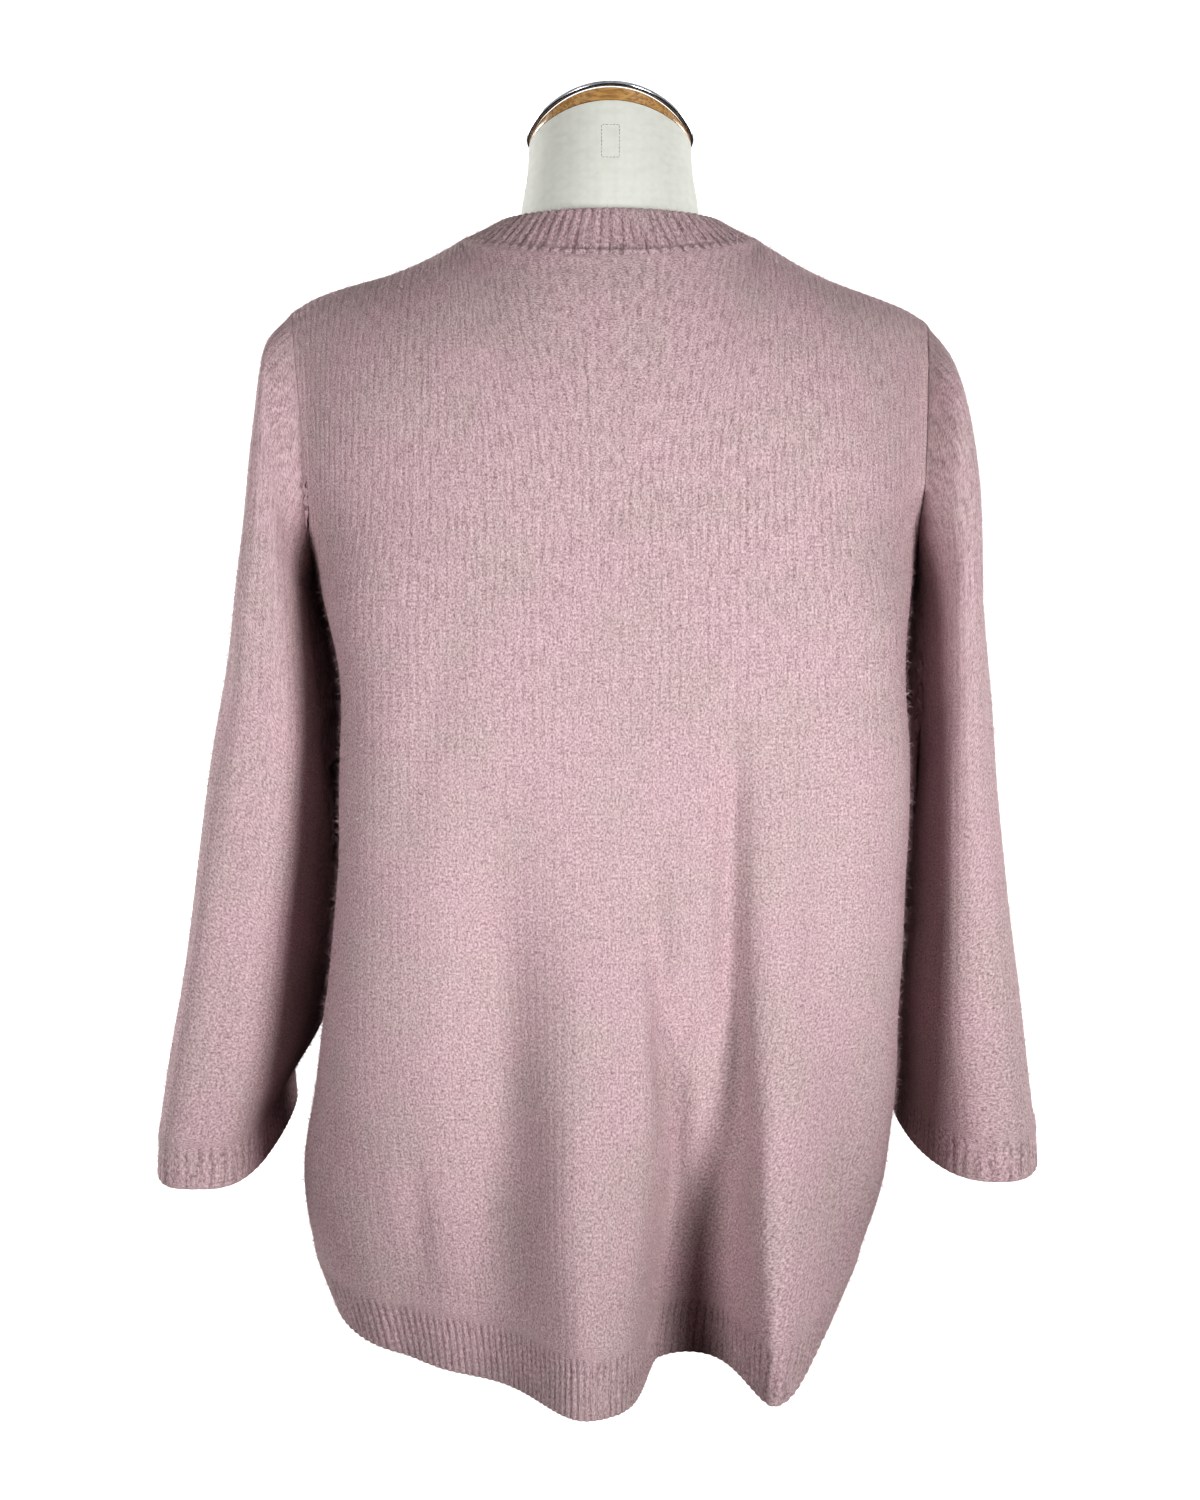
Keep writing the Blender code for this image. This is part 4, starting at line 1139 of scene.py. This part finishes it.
@dataclass
class WornSleeve:
    """A wide sleeve hanging from its armhole, with its cuff.

    Args:
        arm: the wearer's left or right.
        sections: the sleeve in plan at each share of its length.
        cuff_seam_z: the height of the cuff's seam at the outside, back, inside and front of the wrist.
        roundness: the exponent of its sections, 2 for an ellipse and more for squarer ones.
    """

    arm: Arm
    sections: Table
    cuff_seam_z: tuple[float, float, float, float]
    roundness: float
    ease_outside: float = 0.040
    ease_under: float = 0.110
    # Where the columns behind the arm lie on the sleeve's section, from its outer middle (0) to its inner one (1).
    # Those that start beside the shoulder cover its outer and back walls, and those that start lower its inner wall.
    behind: Table = Table(
        ("from_tip", "round"),
        ((0.0, 0.0), (0.25, 0.40), (0.50, 0.70), (0.56, 0.84), (0.62, 0.92), (0.75, 0.97), (1.0, 1.0)),
    )
    toe_power: float = 1.5  # the exponent that keeps the toe to the sleeve's front
    toe_early: float = 0.20  # the front under the arm is drawn in sooner, by this share of the length
    cuff_drop: float = 0.028
    cuff_flare: float = 0.003
    rows: int = 84
    row_power: float = 1.25
    length: float = 0.5  # metres, for the rows beside its seams
    fine_steps: int = 4000

    def angles(self, turns: np.ndarray) -> np.ndarray:
        """Angles of the sleeve's section for shares of the way round the armhole."""
        behind = turns > 0.5 if self.arm is Arm.LEFT else turns < 0.5
        from_tip = 2 * np.minimum(turns, 1 - turns)
        wrapped = np.where(behind, self.behind.read("round", from_tip), from_tip)
        return np.pi * np.where(turns < 0.5, wrapped, 2 - wrapped)

    def section(self, angles: np.ndarray, shares: np.ndarray) -> tuple[np.ndarray, np.ndarray, np.ndarray]:
        """The sleeve's own sections in plan.

        Args:
            angles: one angle for each column.
            shares: one share of the sleeve's length for each row.

        Returns:
            x, y and how far each point faces the front, from -1 to 1.
        """
        sizes = {name: self.sections.read(name, shares)[:, None] for name in SLEEVE_NAMES[1:]}
        facing_first = 1.0 if self.arm is Arm.LEFT else -1.0
        across = signed_power(np.cos(angles), 2 / self.roundness)
        facing = signed_power(np.sin(angles), 2 / self.roundness) * facing_first
        centre_x, half = (sizes["outer"] + sizes["inner"]) / 2, (sizes["outer"] - sizes["inner"]) / 2
        centre_y, reach = (sizes["front"] - sizes["back"]) / 2, (sizes["front"] + sizes["back"]) / 2
        early = shares[:, None] + self.toe_early * (0.5 - 0.5 * np.cos(angles)) * (1 - shares[:, None])
        toe = self.sections.read("toe", early)
        x = self.arm.value * (centre_x + half * across - toe * (0.5 + 0.5 * facing) ** self.toe_power)
        return x, centre_y + reach * facing, facing

    def even_turns(self, count: int) -> np.ndarray:
        """Shares of the way round at which count columns lie evenly on the sleeve's middle section."""
        turns = np.linspace(0, 1, self.fine_steps + 1)
        x, y, _ = self.section(self.angles(turns), np.array((0.5,)))
        along = np.concatenate(([0.0], np.cumsum(np.hypot(np.diff(x[0]), np.diff(y[0])))))
        return np.interp(np.linspace(0, along[-1], count + 1), along, turns)

    def grid(self, armhole: np.ndarray, turns: np.ndarray) -> Grid:
        """The outer skin, rows from the armhole down to the cuff's seam and columns all round."""
        shares = steps(self.rows, self.length, BESIDE_SEAM, BESIDE_SEAM, exponent=self.row_power)
        angles = self.angles(turns)
        share = shares[:, None]
        under = 0.5 - 0.5 * np.cos(angles)
        eased = np.clip(share / (self.ease_outside + (self.ease_under - self.ease_outside) * under), 0.0, 1.0)
        own = 1 - (1 - eased) ** 2
        x, y, facing = self.section(angles, shares)
        z_out, z_back, z_in, z_front = self.cuff_seam_z
        z_cuff = (z_out + z_in) / 2 + (z_out - z_in) / 2 * np.cos(angles) + (z_front - z_back) / 2 * facing
        z = armhole[:, 2] + (z_cuff - armhole[:, 2]) * share
        x = armhole[:, 0] + (x - armhole[:, 0]) * own
        y = armhole[:, 1] + (y - armhole[:, 1]) * own
        return np.stack((x, y, z), axis=-1)

    def cuff(self, seam: np.ndarray, cols: int, rows: int) -> Grid:
        """The outer skin of the cuff, rows from its seam down to its free edge."""
        seam = read_along(np.linspace(0, 1, cols + 1), np.linspace(0, 1, len(seam)), seam)
        centre = seam[:-1].mean(axis=0)
        spread = 1 + self.cuff_flare / np.linalg.norm(seam[:, :2] - centre[:2], axis=1)
        edge = seam.copy()
        edge[:, :2] = centre[:2] + (seam[:, :2] - centre[:2]) * spread[:, None]
        edge[:, 2] -= self.cuff_drop
        shares = steps(rows, self.cuff_drop, BESIDE_SEAM, BESIDE_EDGE)[:, None, None]
        return seam + (edge - seam) * shares


LEFT_SLEEVE = Table(
    SLEEVE_NAMES,
    (
        (0.000, 0.2160, 0.188, 0.050, 0.060, 0.000),
        (0.028, 0.2220, 0.196, 0.055, 0.066, 0.002),
        (0.060, 0.2258, 0.201, 0.058, 0.072, 0.005),
        (0.120, 0.2303, 0.202, 0.060, 0.081, 0.009),
        (0.195, 0.2370, 0.200, 0.061, 0.090, 0.015),
        (0.285, 0.2462, 0.198, 0.060, 0.101, 0.024),
        (0.415, 0.2562, 0.197, 0.059, 0.109, 0.027),
        (0.515, 0.2662, 0.201, 0.058, 0.114, 0.028),
        (0.630, 0.2765, 0.207, 0.057, 0.118, 0.028),
        (0.755, 0.2868, 0.213, 0.056, 0.124, 0.029),
        (0.870, 0.2975, 0.221, 0.055, 0.127, 0.023),
        (1.000, 0.3090, 0.237, 0.054, 0.126, 0.010),
    ),
)
RIGHT_SLEEVE = Table(
    SLEEVE_NAMES,
    (
        (0.000, 0.2110, 0.200, 0.050, 0.058, 0.000),
        (0.025, 0.2180, 0.207, 0.054, 0.063, 0.001),
        (0.050, 0.2243, 0.210, 0.056, 0.067, 0.003),
        (0.080, 0.2300, 0.212, 0.057, 0.072, 0.006),
        (0.115, 0.2354, 0.213, 0.057, 0.077, 0.009),
        (0.165, 0.2410, 0.214, 0.057, 0.083, 0.013),
        (0.220, 0.2440, 0.2145, 0.055, 0.088, 0.017),
        (0.300, 0.2484, 0.215, 0.053, 0.094, 0.020),
        (0.440, 0.2554, 0.215, 0.051, 0.101, 0.023),
        (0.630, 0.2680, 0.214, 0.049, 0.108, 0.024),
        (0.820, 0.2828, 0.213, 0.047, 0.115, 0.025),
        (1.000, 0.2970, 0.217, 0.046, 0.115, 0.016),
    ),
)


@dataclass
class Pullover:
    """The nine knitted pieces and the nap on them.

    Args:
        axis: where the form's axis stands.
    """

    axis: Vector
    wale_pitch: float = 0.0066
    rib_pitch: float = 0.0063
    body_wales: int = 80
    hem_ribs: int = 110
    neck_ribs: int = 80
    sleeve_wales: int = 56
    cuff_ribs: int = 56
    hem_length: float = 0.037
    body_length: float = 0.66
    sleeve_length: float = 0.53
    cuff_length: float = 0.028
    cuff_rise: float = 0.00055
    neck_length: float = 0.030
    points_a_wale: int = 5
    points_a_rib: int = 6
    hem_rows: int = 9
    cuff_rows: int = 7
    neck_rows: int = 10
    neck_edge: NeckRing = NeckRing(0.0722, 0.070, 0.074, 0.7245, 0.7255, 0.6860)
    body: WornBody = field(default_factory=WornBody)
    nap: Nap = Nap()

    def neck_band(self, back: Grid, front: Grid) -> Grid:
        """The outer skin of the neck band, rows from its seam up and columns round from the wearer's left."""
        neck = slice(self.body.shoulder_cols, self.body.shoulder_cols + self.body.neck_cols + 1)
        loop = np.concatenate((back[-1, neck], front[-1, neck][::-1][1:]))
        at = np.linspace(0, 1, self.neck_ribs * self.points_a_rib + 1)
        seam = read_along(at, np.linspace(0, 1, len(loop)), loop)
        edge = self.neck_edge.points(np.pi + 2 * np.pi * at)
        shares = steps(self.neck_rows, self.neck_length, BESIDE_SEAM, BESIDE_EDGE)[:, None, None]
        return seam + (edge - seam) * shares

    def pieces(self) -> list[KnitPiece]:
        """The nine pieces in the order in which they would be joined."""
        body = self.body
        back, front = body.panel(Side.BACK), body.panel(Side.FRONT)
        plain = {"stitch": Stitch.PLAIN, "pitch": self.wale_pitch}
        rib = {"stitch": Stitch.RIB, "pitch": self.rib_pitch}
        hem_cols = self.hem_ribs * self.points_a_wale
        hem_back, hem_front = (body.hem(side, hem_cols, self.hem_rows) for side in (Side.BACK, Side.FRONT))
        panel = {"closed": False, "wales": self.body_wales, "length": self.body_length}
        hem = {"closed": False, "wales": self.hem_ribs, "length": self.hem_length, "free_first": True}
        neck = {"closed": True, "wales": self.neck_ribs, "length": self.neck_length, "free_last": True}
        tube = {"closed": True, "wales": self.sleeve_wales, "length": self.sleeve_length}
        cuff = {"closed": True, "wales": self.cuff_ribs, "length": self.cuff_length, "free_last": True}
        made = [
            KnitPiece("back_panel", "back", back, **panel, **plain),
            KnitPiece("front_panel", "front", front[:, ::-1], **panel, **plain),
            KnitPiece("hem_band_back", "hem_rib_back", hem_back, **hem, **rib),
            KnitPiece("hem_band_front", "hem_rib_front", hem_front[:, ::-1], **hem, **rib),
            KnitPiece("neck_band", "neck_rib", self.neck_band(back, front), **neck, **rib),
        ]
        for worn in (
            WornSleeve(Arm.LEFT, LEFT_SLEEVE, cuff_seam_z=(0.131, 0.126, 0.132, 0.142), roundness=3.2),
            WornSleeve(Arm.RIGHT, RIGHT_SLEEVE, cuff_seam_z=(0.131, 0.128, 0.133, 0.141), roundness=2.5),
        ):
            arm, end = worn.arm, worn.arm.suffix
            turns = worn.even_turns(self.sleeve_wales * self.points_a_wale)
            sleeve = worn.grid(body.armhole_loop(back, front, arm, turns), turns)
            sleeve = body.creases.on_sleeve(sleeve, arm)
            wrist = worn.cuff(sleeve[-1], self.cuff_ribs * self.points_a_rib, self.cuff_rows)
            made.append(KnitPiece(f"{end}_sleeve", f"sleeve_{end}", sleeve, **tube, **plain))
            made.append(KnitPiece(f"{end}_cuff", f"cuff_{end}", wrist, rib_rise=self.cuff_rise, **cuff, **rib))
        return made

    def build(self) -> None:
        """Makes and dresses every piece, and grows its nap."""
        # The groove value is the painted shade in the line between two wales; the rib's deeper troughs get more of it.
        plain = BrushedKnit(
            "brushed lambswool, plain knit", self.wale_pitch, groove_shade=0.15, groove_width=1.2, plain_below=0.30
        )
        rib = BrushedKnit(
            "brushed lambswool, 1 x 1 rib", self.rib_pitch, groove_shade=0.50, groove_width=1.8, plain_below=0.60
        )
        finishes = {Stitch.PLAIN: plain.build(), Stitch.RIB: rib.build()}
        fibre = LooseFibre().build()
        for number, piece in enumerate(self.pieces()):
            piece.grid = piece.grid + np.array(self.axis)
            obj = piece.build(finishes[piece.stitch])
            skin = shown("skin", piece.skin(), fibre)
            nap = self.nap.grown(f"nap_{piece.node}", skin, fibre, 10 * number)
            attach(nap, "root")
            LOG.info("%s: %d fibres' triangles", nap.name, len(nap.data.polygons))
            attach(obj, "root")
            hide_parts(piece.node)
            LOG.info("%s: %d quads, flat %.2f x %.2f m", obj.name, len(obj.data.polygons), *piece.flat)


# ---------------------------------------------------------------- the dress form


@dataclass(frozen=True)
class NapeStitches:
    """The box of running stitches that holds the cover down at the nape.

    Args:
        middle: how far right of the form's axis the box's middle lies, and its height.
        half: half the box's width and height.
        pitch: from one stitch to the next.
        length: of one stitch's thread above the cloth.
        radius: of the thread.
    """

    middle: tuple[float, float] = (0.0000, 0.7665)
    half: tuple[float, float] = (0.0055, 0.0098)
    pitch: float = 0.0023
    length: float = 0.0017
    radius: float = 0.00024
    order: tuple[float, float, float] = (1.0, 7.3, 53.1)  # the weights of a place by which its points are put in order

    def places(self) -> list[tuple[float, float, bool]]:
        """Each stitch's place across and up, and whether it runs upright."""
        (x, z), (half_x, half_z) = self.middle, self.half
        found = []
        for reach, other, upright in ((half_x, half_z, False), (half_z, half_x, True)):
            count = round(2 * reach / self.pitch)
            for along in reach * (2 * (np.arange(count) + 0.5) / count - 1):
                for side in (-other, other):
                    found.append((x + side, z + along, True) if upright else (x + along, z + side, False))
        return found

    def build(self, cover: bpy.types.Object, axis: Vector, finish: bpy.types.Material) -> bpy.types.Object:
        """The stitches, each a short round-ended length of thread half sunk in the cover.

        Args:
            cover: the cover they are sewn through.
            axis: where the form's axis stands.
            finish: the thread's material.

        Returns:
            One object that holds every stitch.
        """
        bm = bmesh.new()
        shape = Matrix.Diagonal((self.radius, self.radius, self.length / 2, 1.0))
        for x, z, upright in self.places():
            _, place, normal, _ = cover.ray_cast(Vector((axis.x + x, axis.y - 1.0, z)), Vector((0, 1, 0)))
            along = Vector((0, 0, 1)) if upright else Vector((1, 0, 0))
            turn = (along - normal * along.dot(normal)).to_track_quat("Z", "Y").to_matrix().to_4x4()
            put = Matrix.Translation(place) @ turn @ shape
            bmesh.ops.create_uvsphere(bm, u_segments=8, v_segments=6, radius=1.0, matrix=put)
        order = Vector(self.order)  # a sphere's points and faces come in a new order in each run
        bm.verts.sort(key=lambda vert: vert.co.dot(order))
        bm.faces.sort(key=lambda face: face.calc_center_median().dot(order))
        return shown("nape_stitches", bm, finish)


@dataclass
class DressForm:
    """A limbless table-top form: a padded trunk and neck under one cover, a turned block and a wire rim.

    Args:
        axis: where the form's axis stands.
    """

    axis: Vector
    roundness: float = 2.3
    chest_z: float = 0.560
    shoulder_cols: int = 24
    neck_cols: int = 56
    low_rows: int = 36
    top_rows: int = 18
    neck_rows: int = 20
    ring_cols: int = 112
    seam_sink: float = 0.0005
    rim_radius: float = 0.0016
    rim_sides: int = 12
    turn_at_neck: float = 48.0  # degrees that the trunk turns over below the neck
    turned_in: float = 0.96  # how far in over the neck's top edge the cover reaches, as a share
    turned_down: float = 0.0004
    trunk: Table = Table(
        ("z", "half_width", "back", "front"),
        (
            (0.000, 0.118, 0.084, 0.086),
            (0.030, 0.128, 0.091, 0.094),
            (0.080, 0.139, 0.099, 0.101),
            (0.130, 0.143, 0.102, 0.104),
            (0.190, 0.138, 0.098, 0.098),
            (0.260, 0.121, 0.086, 0.086),
            (0.310, 0.112, 0.079, 0.081),
            (0.360, 0.115, 0.081, 0.091),
            (0.420, 0.127, 0.087, 0.112),
            (0.470, 0.138, 0.092, 0.124),
            (0.515, 0.147, 0.096, 0.116),
            (0.560, 0.158, 0.099, 0.104),
        ),
    )
    shoulder: Table = Table(
        ("x", "z"),
        (
            (0.066, 0.7140),
            (0.076, 0.7070),
            (0.090, 0.7020),
            (0.105, 0.6990),
            (0.125, 0.6945),
            (0.142, 0.6882),
            (0.165, 0.6806),
            (0.178, 0.6743),
            (0.187, 0.6630),
        ),
    )
    neck: Table = Table(
        ("level", "half_width", "back", "front", "z_back", "z_side", "z_front"),
        (
            (0.0, 0.0660, 0.0640, 0.0610, 0.7010, 0.7140, 0.6880),
            (1.0, 0.0590, 0.0590, 0.0590, 0.7220, 0.7270, 0.7080),
            (2.0, 0.0565, 0.0575, 0.0555, 0.7450, 0.7400, 0.7250),
            (3.0, 0.0535, 0.0560, 0.0525, 0.7700, 0.7570, 0.7390),
            (4.0, 0.0525, 0.0550, 0.0520, 0.7910, 0.7735, 0.7495),
        ),
    )
    block: tuple[NeckRing, ...] = (
        NeckRing(0.0523, 0.0548, 0.0518, 0.7915, 0.7740, 0.7500),
        NeckRing(0.0523, 0.0548, 0.0518, 0.7985, 0.7757, 0.7520),
        NeckRing(0.0514, 0.0539, 0.0510, 0.7990, 0.7768, 0.7534),
        NeckRing(0.0480, 0.0500, 0.0475, 0.7990, 0.7785, 0.7565),
    )
    rim: NeckRing = NeckRing(0.0525, 0.0550, 0.0520, 0.8010, 0.7782, 0.7546)
    drop: ShoulderDrop = ShoulderDrop()

    def ring(self, level: float) -> NeckRing:
        """The cover's neck ring at a level between two rows of its table."""
        return NeckRing(*(float(self.neck.read(name, level)) for name in self.neck.names[1:]))

    def half(self, side: Side) -> Grid:
        """Rows of points over the back or the front of the trunk, from the ground to the neck's foot."""
        cols = 2 * self.shoulder_cols + self.neck_cols
        angles = np.pi * np.arange(cols + 1) / cols
        z = (self.chest_z * np.linspace(0, 1, self.low_rows + 1))[:, None]
        half_width, depth = self.trunk.read("half_width", z), self.trunk.read(side.column, z)
        x = -half_width * signed_power(np.cos(angles), 2 / self.roundness)
        y = side.value * depth * np.abs(np.sin(angles)) ** (2 / self.roundness)
        low = np.stack((x, y, np.broadcast_to(z, x.shape)), axis=-1)
        top = top_edge(side, self.shoulder, self.ring(0.0), (self.shoulder_cols, self.neck_cols))
        turns = column_turns(self.shoulder_cols, self.neck_cols, self.turn_at_neck)
        over = round_over(low[-1], top, turns, np.linspace(0, 1, self.top_rows + 1)[1:])
        return self.drop.applied(np.concatenate((low, over)))

    def neck_grid(self, back: Grid, front: Grid) -> Grid:
        """The neck from its foot, where it meets the trunk, to its top edge and a little way in over it."""
        neck = slice(self.shoulder_cols, self.shoulder_cols + self.neck_cols + 1)
        foot = np.concatenate((back[-1, neck], front[-1, neck][::-1][1:]))
        angles = np.pi + 2 * np.pi * np.linspace(0, 1, len(foot))
        levels = np.linspace(0.0, 4.0, self.neck_rows + 1)[1:]
        rows = [foot, *(self.ring(float(level)).points(angles) for level in levels)]
        inside = rows[-1] * (self.turned_in, self.turned_in, 1.0) - (0.0, 0.0, self.turned_down)
        return np.array([*rows, inside])

    def cover(self, finish: bpy.types.Material) -> bpy.types.Object:
        """The trunk and neck under one sewn cover, closed below and above, with its seam at the nape."""
        back, front = self.half(Side.BACK), self.half(Side.FRONT)
        neck = self.neck_grid(back, front)
        middle = self.neck_cols // 2
        neck[1:-1, middle, 1] += self.seam_sink
        bm = bmesh.new()
        for grid in (back, front[:, ::-1], neck):
            part = laid_grid(grid + np.array(self.axis), (1.0, 1.0), False)
            mesh = bpy.data.meshes.new("part")
            part.to_mesh(mesh)
            part.free()
            bm.from_mesh(mesh)
            bpy.data.meshes.remove(mesh)
        bmesh.ops.remove_doubles(bm, verts=bm.verts, dist=1e-5)
        return closed_shell("form_cover", bm, finish)

    def all_round(self) -> np.ndarray:
        """Angles all round a ring, from the wearer's left."""
        return np.pi + 2 * np.pi * np.linspace(0, 1, self.ring_cols + 1)

    def neck_block(self, finish: bpy.types.Material) -> bpy.types.Object:
        """The turned block that closes the neck, thickest at the nape."""
        rings = np.array([ring.points(self.all_round()) for ring in self.block])
        return closed_shell("neck_block", laid_grid(rings + np.array(self.axis), (1.0, 1.0), True), finish)

    def wire_rim(self, finish: bpy.types.Material) -> bpy.types.Object:
        """The wire round the block's top edge, laid as a grid closed both ways."""
        angles = self.all_round()
        path = self.rim.points(angles)
        outwards = np.stack((np.cos(angles), np.sin(angles), np.zeros_like(angles)), axis=-1)
        rows = []
        for turn in np.linspace(0, 2 * np.pi, self.rim_sides + 1):
            rows.append(path + self.rim_radius * (outwards * np.cos(turn) + np.array((0, 0, np.sin(turn)))))
        bm = laid_grid(np.array(rows) + np.array(self.axis), (1.0, 1.0), True)
        bmesh.ops.remove_doubles(bm, verts=bm.verts, dist=WELD)
        bmesh.ops.recalc_face_normals(bm, faces=bm.faces)
        return shown("wire_rim", bm, finish)

    def build(self) -> None:
        """Makes and dresses the form's pieces."""
        cover = self.cover(LinenCover().build())
        block = self.neck_block(VarnishedBeech().build())
        rim = self.wire_rim(PolishedSteel().build())
        for obj, node, slot in (
            (cover, "form_body", "cover"),
            (block, "form_neck_block", "wood"),
            (rim, "form_neck_rim", "rim"),
        ):
            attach(obj, "root")
            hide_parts(node)
            LOG.info("%s: %d faces", obj.name, len(obj.data.polygons))
        stitches = NapeStitches().build(cover, self.axis, SewingThread().build())
        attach(stitches, "root")
        LOG.info("%s: %d faces", stitches.name, len(stitches.data.polygons))


# ---------------------------------------------------------------- the studio


@dataclass(frozen=True)
class Studio:
    """A pale floor, soft light from the camera's side and a camera at the photograph's viewing angle."""

    camera_place: tuple[float, float, float] = (-0.00146, -1.18838, 0.5217)
    camera_tilt: float = 6.67  # degrees below level
    focal_length: float = 53.85  # millimetres
    sensor: float = 36.0
    floor_half: float = 12.0
    floor_glow: float = 0.84
    surround: float = 0.038
    mirrored: float = 0.55  # the surround as polished metal and varnish show it
    # Each light's place, what it is aimed at, its side in metres, its spread in degrees and its power in watts. The
    # front ones stand wide of the camera, so that the hollows beside the sleeves stay dark.
    lights: dict[str, tuple[tuple[float, float, float], tuple[float, float, float], float, float, float]] = field(
        default_factory=lambda: {
            "key": ((1.36, -1.69, 0.38), (0.03, -0.1, 0.42), 0.7, 54.0, 3.72),
            "fill": ((-1.36, -1.69, 0.38), (-0.03, -0.1, 0.42), 0.7, 54.0, 2.28),
            "far_left": ((-2.3, 1.6, 1.0), (0.0, 0.0, 0.42), 1.4, 180.0, 54.0),
            "far_right": ((2.3, 1.6, 1.0), (0.0, 0.0, 0.42), 1.4, 180.0, 38.0),
        }
    )

    def camera(self) -> None:
        """The camera, which looks at the garment's back."""
        data = bpy.data.cameras.new("camera")
        data.sensor_fit = "HORIZONTAL"
        data.sensor_width = self.sensor
        data.lens = self.focal_length
        obj = linked("camera", data)
        obj.location = self.camera_place
        obj.rotation_euler = (math.radians(90 - self.camera_tilt), 0.0, 0.0)
        bpy.context.scene.camera = obj

    def floor(self) -> None:
        """A wide plain floor of pale paper, which takes the shadow and throws little light back."""
        made = Finish("pale studio paper")
        seen = made.add("ShaderNodeLightPath").outputs["Is Camera Ray"]
        glow = {"Emission Color": linear("#FFFFFF"), "Emission Strength": self.floor_glow}
        paper = made.add("ShaderNodeBsdfPrincipled", {"Base Color": linear("#8F8D8B"), "Roughness": 0.9, **glow})
        dim = made.add("ShaderNodeBsdfDiffuse", {"Color": linear("#6E6A68")})
        both = made.add("ShaderNodeMixShader", {0: seen, 1: dim.outputs[0], 2: paper.outputs[0]})
        bm = bmesh.new()
        bmesh.ops.create_grid(bm, x_segments=2, y_segments=2, size=self.floor_half)
        shown("floor", bm, made.surfaced(both))

    def area_light(
        self, name: str, place: Sequence[float], target: Sequence[float], size: float, spread: float, power: float
    ) -> None:
        """A square soft light that faces a target."""
        data = bpy.data.lights.new(name, "AREA")
        data.shape = "SQUARE"
        data.size = size
        data.spread = math.radians(spread)
        data.energy = power
        obj = linked(name, data)
        obj.location = place
        obj.rotation_euler = (Vector(target) - Vector(place)).to_track_quat("-Z", "Y").to_euler()

    def world(self) -> None:
        """A white surround that is seen at full strength and lights the object softly."""
        world = bpy.data.worlds.new("surround")
        world.use_nodes = True
        made = Nodes(world.node_tree)
        rays, white = made.add("ShaderNodeLightPath").outputs, linear("#FFFFFF")
        seen = made.add("ShaderNodeBackground", {"Color": white, "Strength": 1.0}).outputs[0]
        strength = made.computed("MULTIPLY_ADD", rays["Is Glossy Ray"], self.mirrored, self.surround)
        lighting = made.add("ShaderNodeBackground", {"Color": white, "Strength": strength}).outputs[0]
        both = made.add("ShaderNodeMixShader", {0: rays["Is Camera Ray"], 1: lighting, 2: seen})
        made.add("ShaderNodeOutputWorld", {0: both.outputs[0]})
        bpy.context.scene.world = world

    def build(self) -> None:
        """Sets up the camera, the floor and the light."""
        self.camera()
        self.floor()
        self.world()
        for name, (place, target, size, spread, power) in self.lights.items():
            self.area_light(name, place, target, size, spread, power)
        view = bpy.context.scene.view_settings
        view.view_transform = "Standard"
        view.look = "High Contrast"


# ---------------------------------------------------------------- the whole scene


def corners(box: Sequence[Vector]) -> list[list[float]]:
    """A box's two corners as plain lists."""
    return [[round(float(value), 5) for value in corner] for corner in box]


def main() -> None:
    """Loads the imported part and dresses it."""
    logging.basicConfig(level=logging.INFO, format="%(message)s")
    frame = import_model()
    axis = Vector(frame["record"]["mounts"][0]["pos_m"])
    Studio().build()
    DressForm(axis).build()
    Pullover(axis).build()
    bpy.context.view_layer.update()


if __name__ == "__main__":
    main()
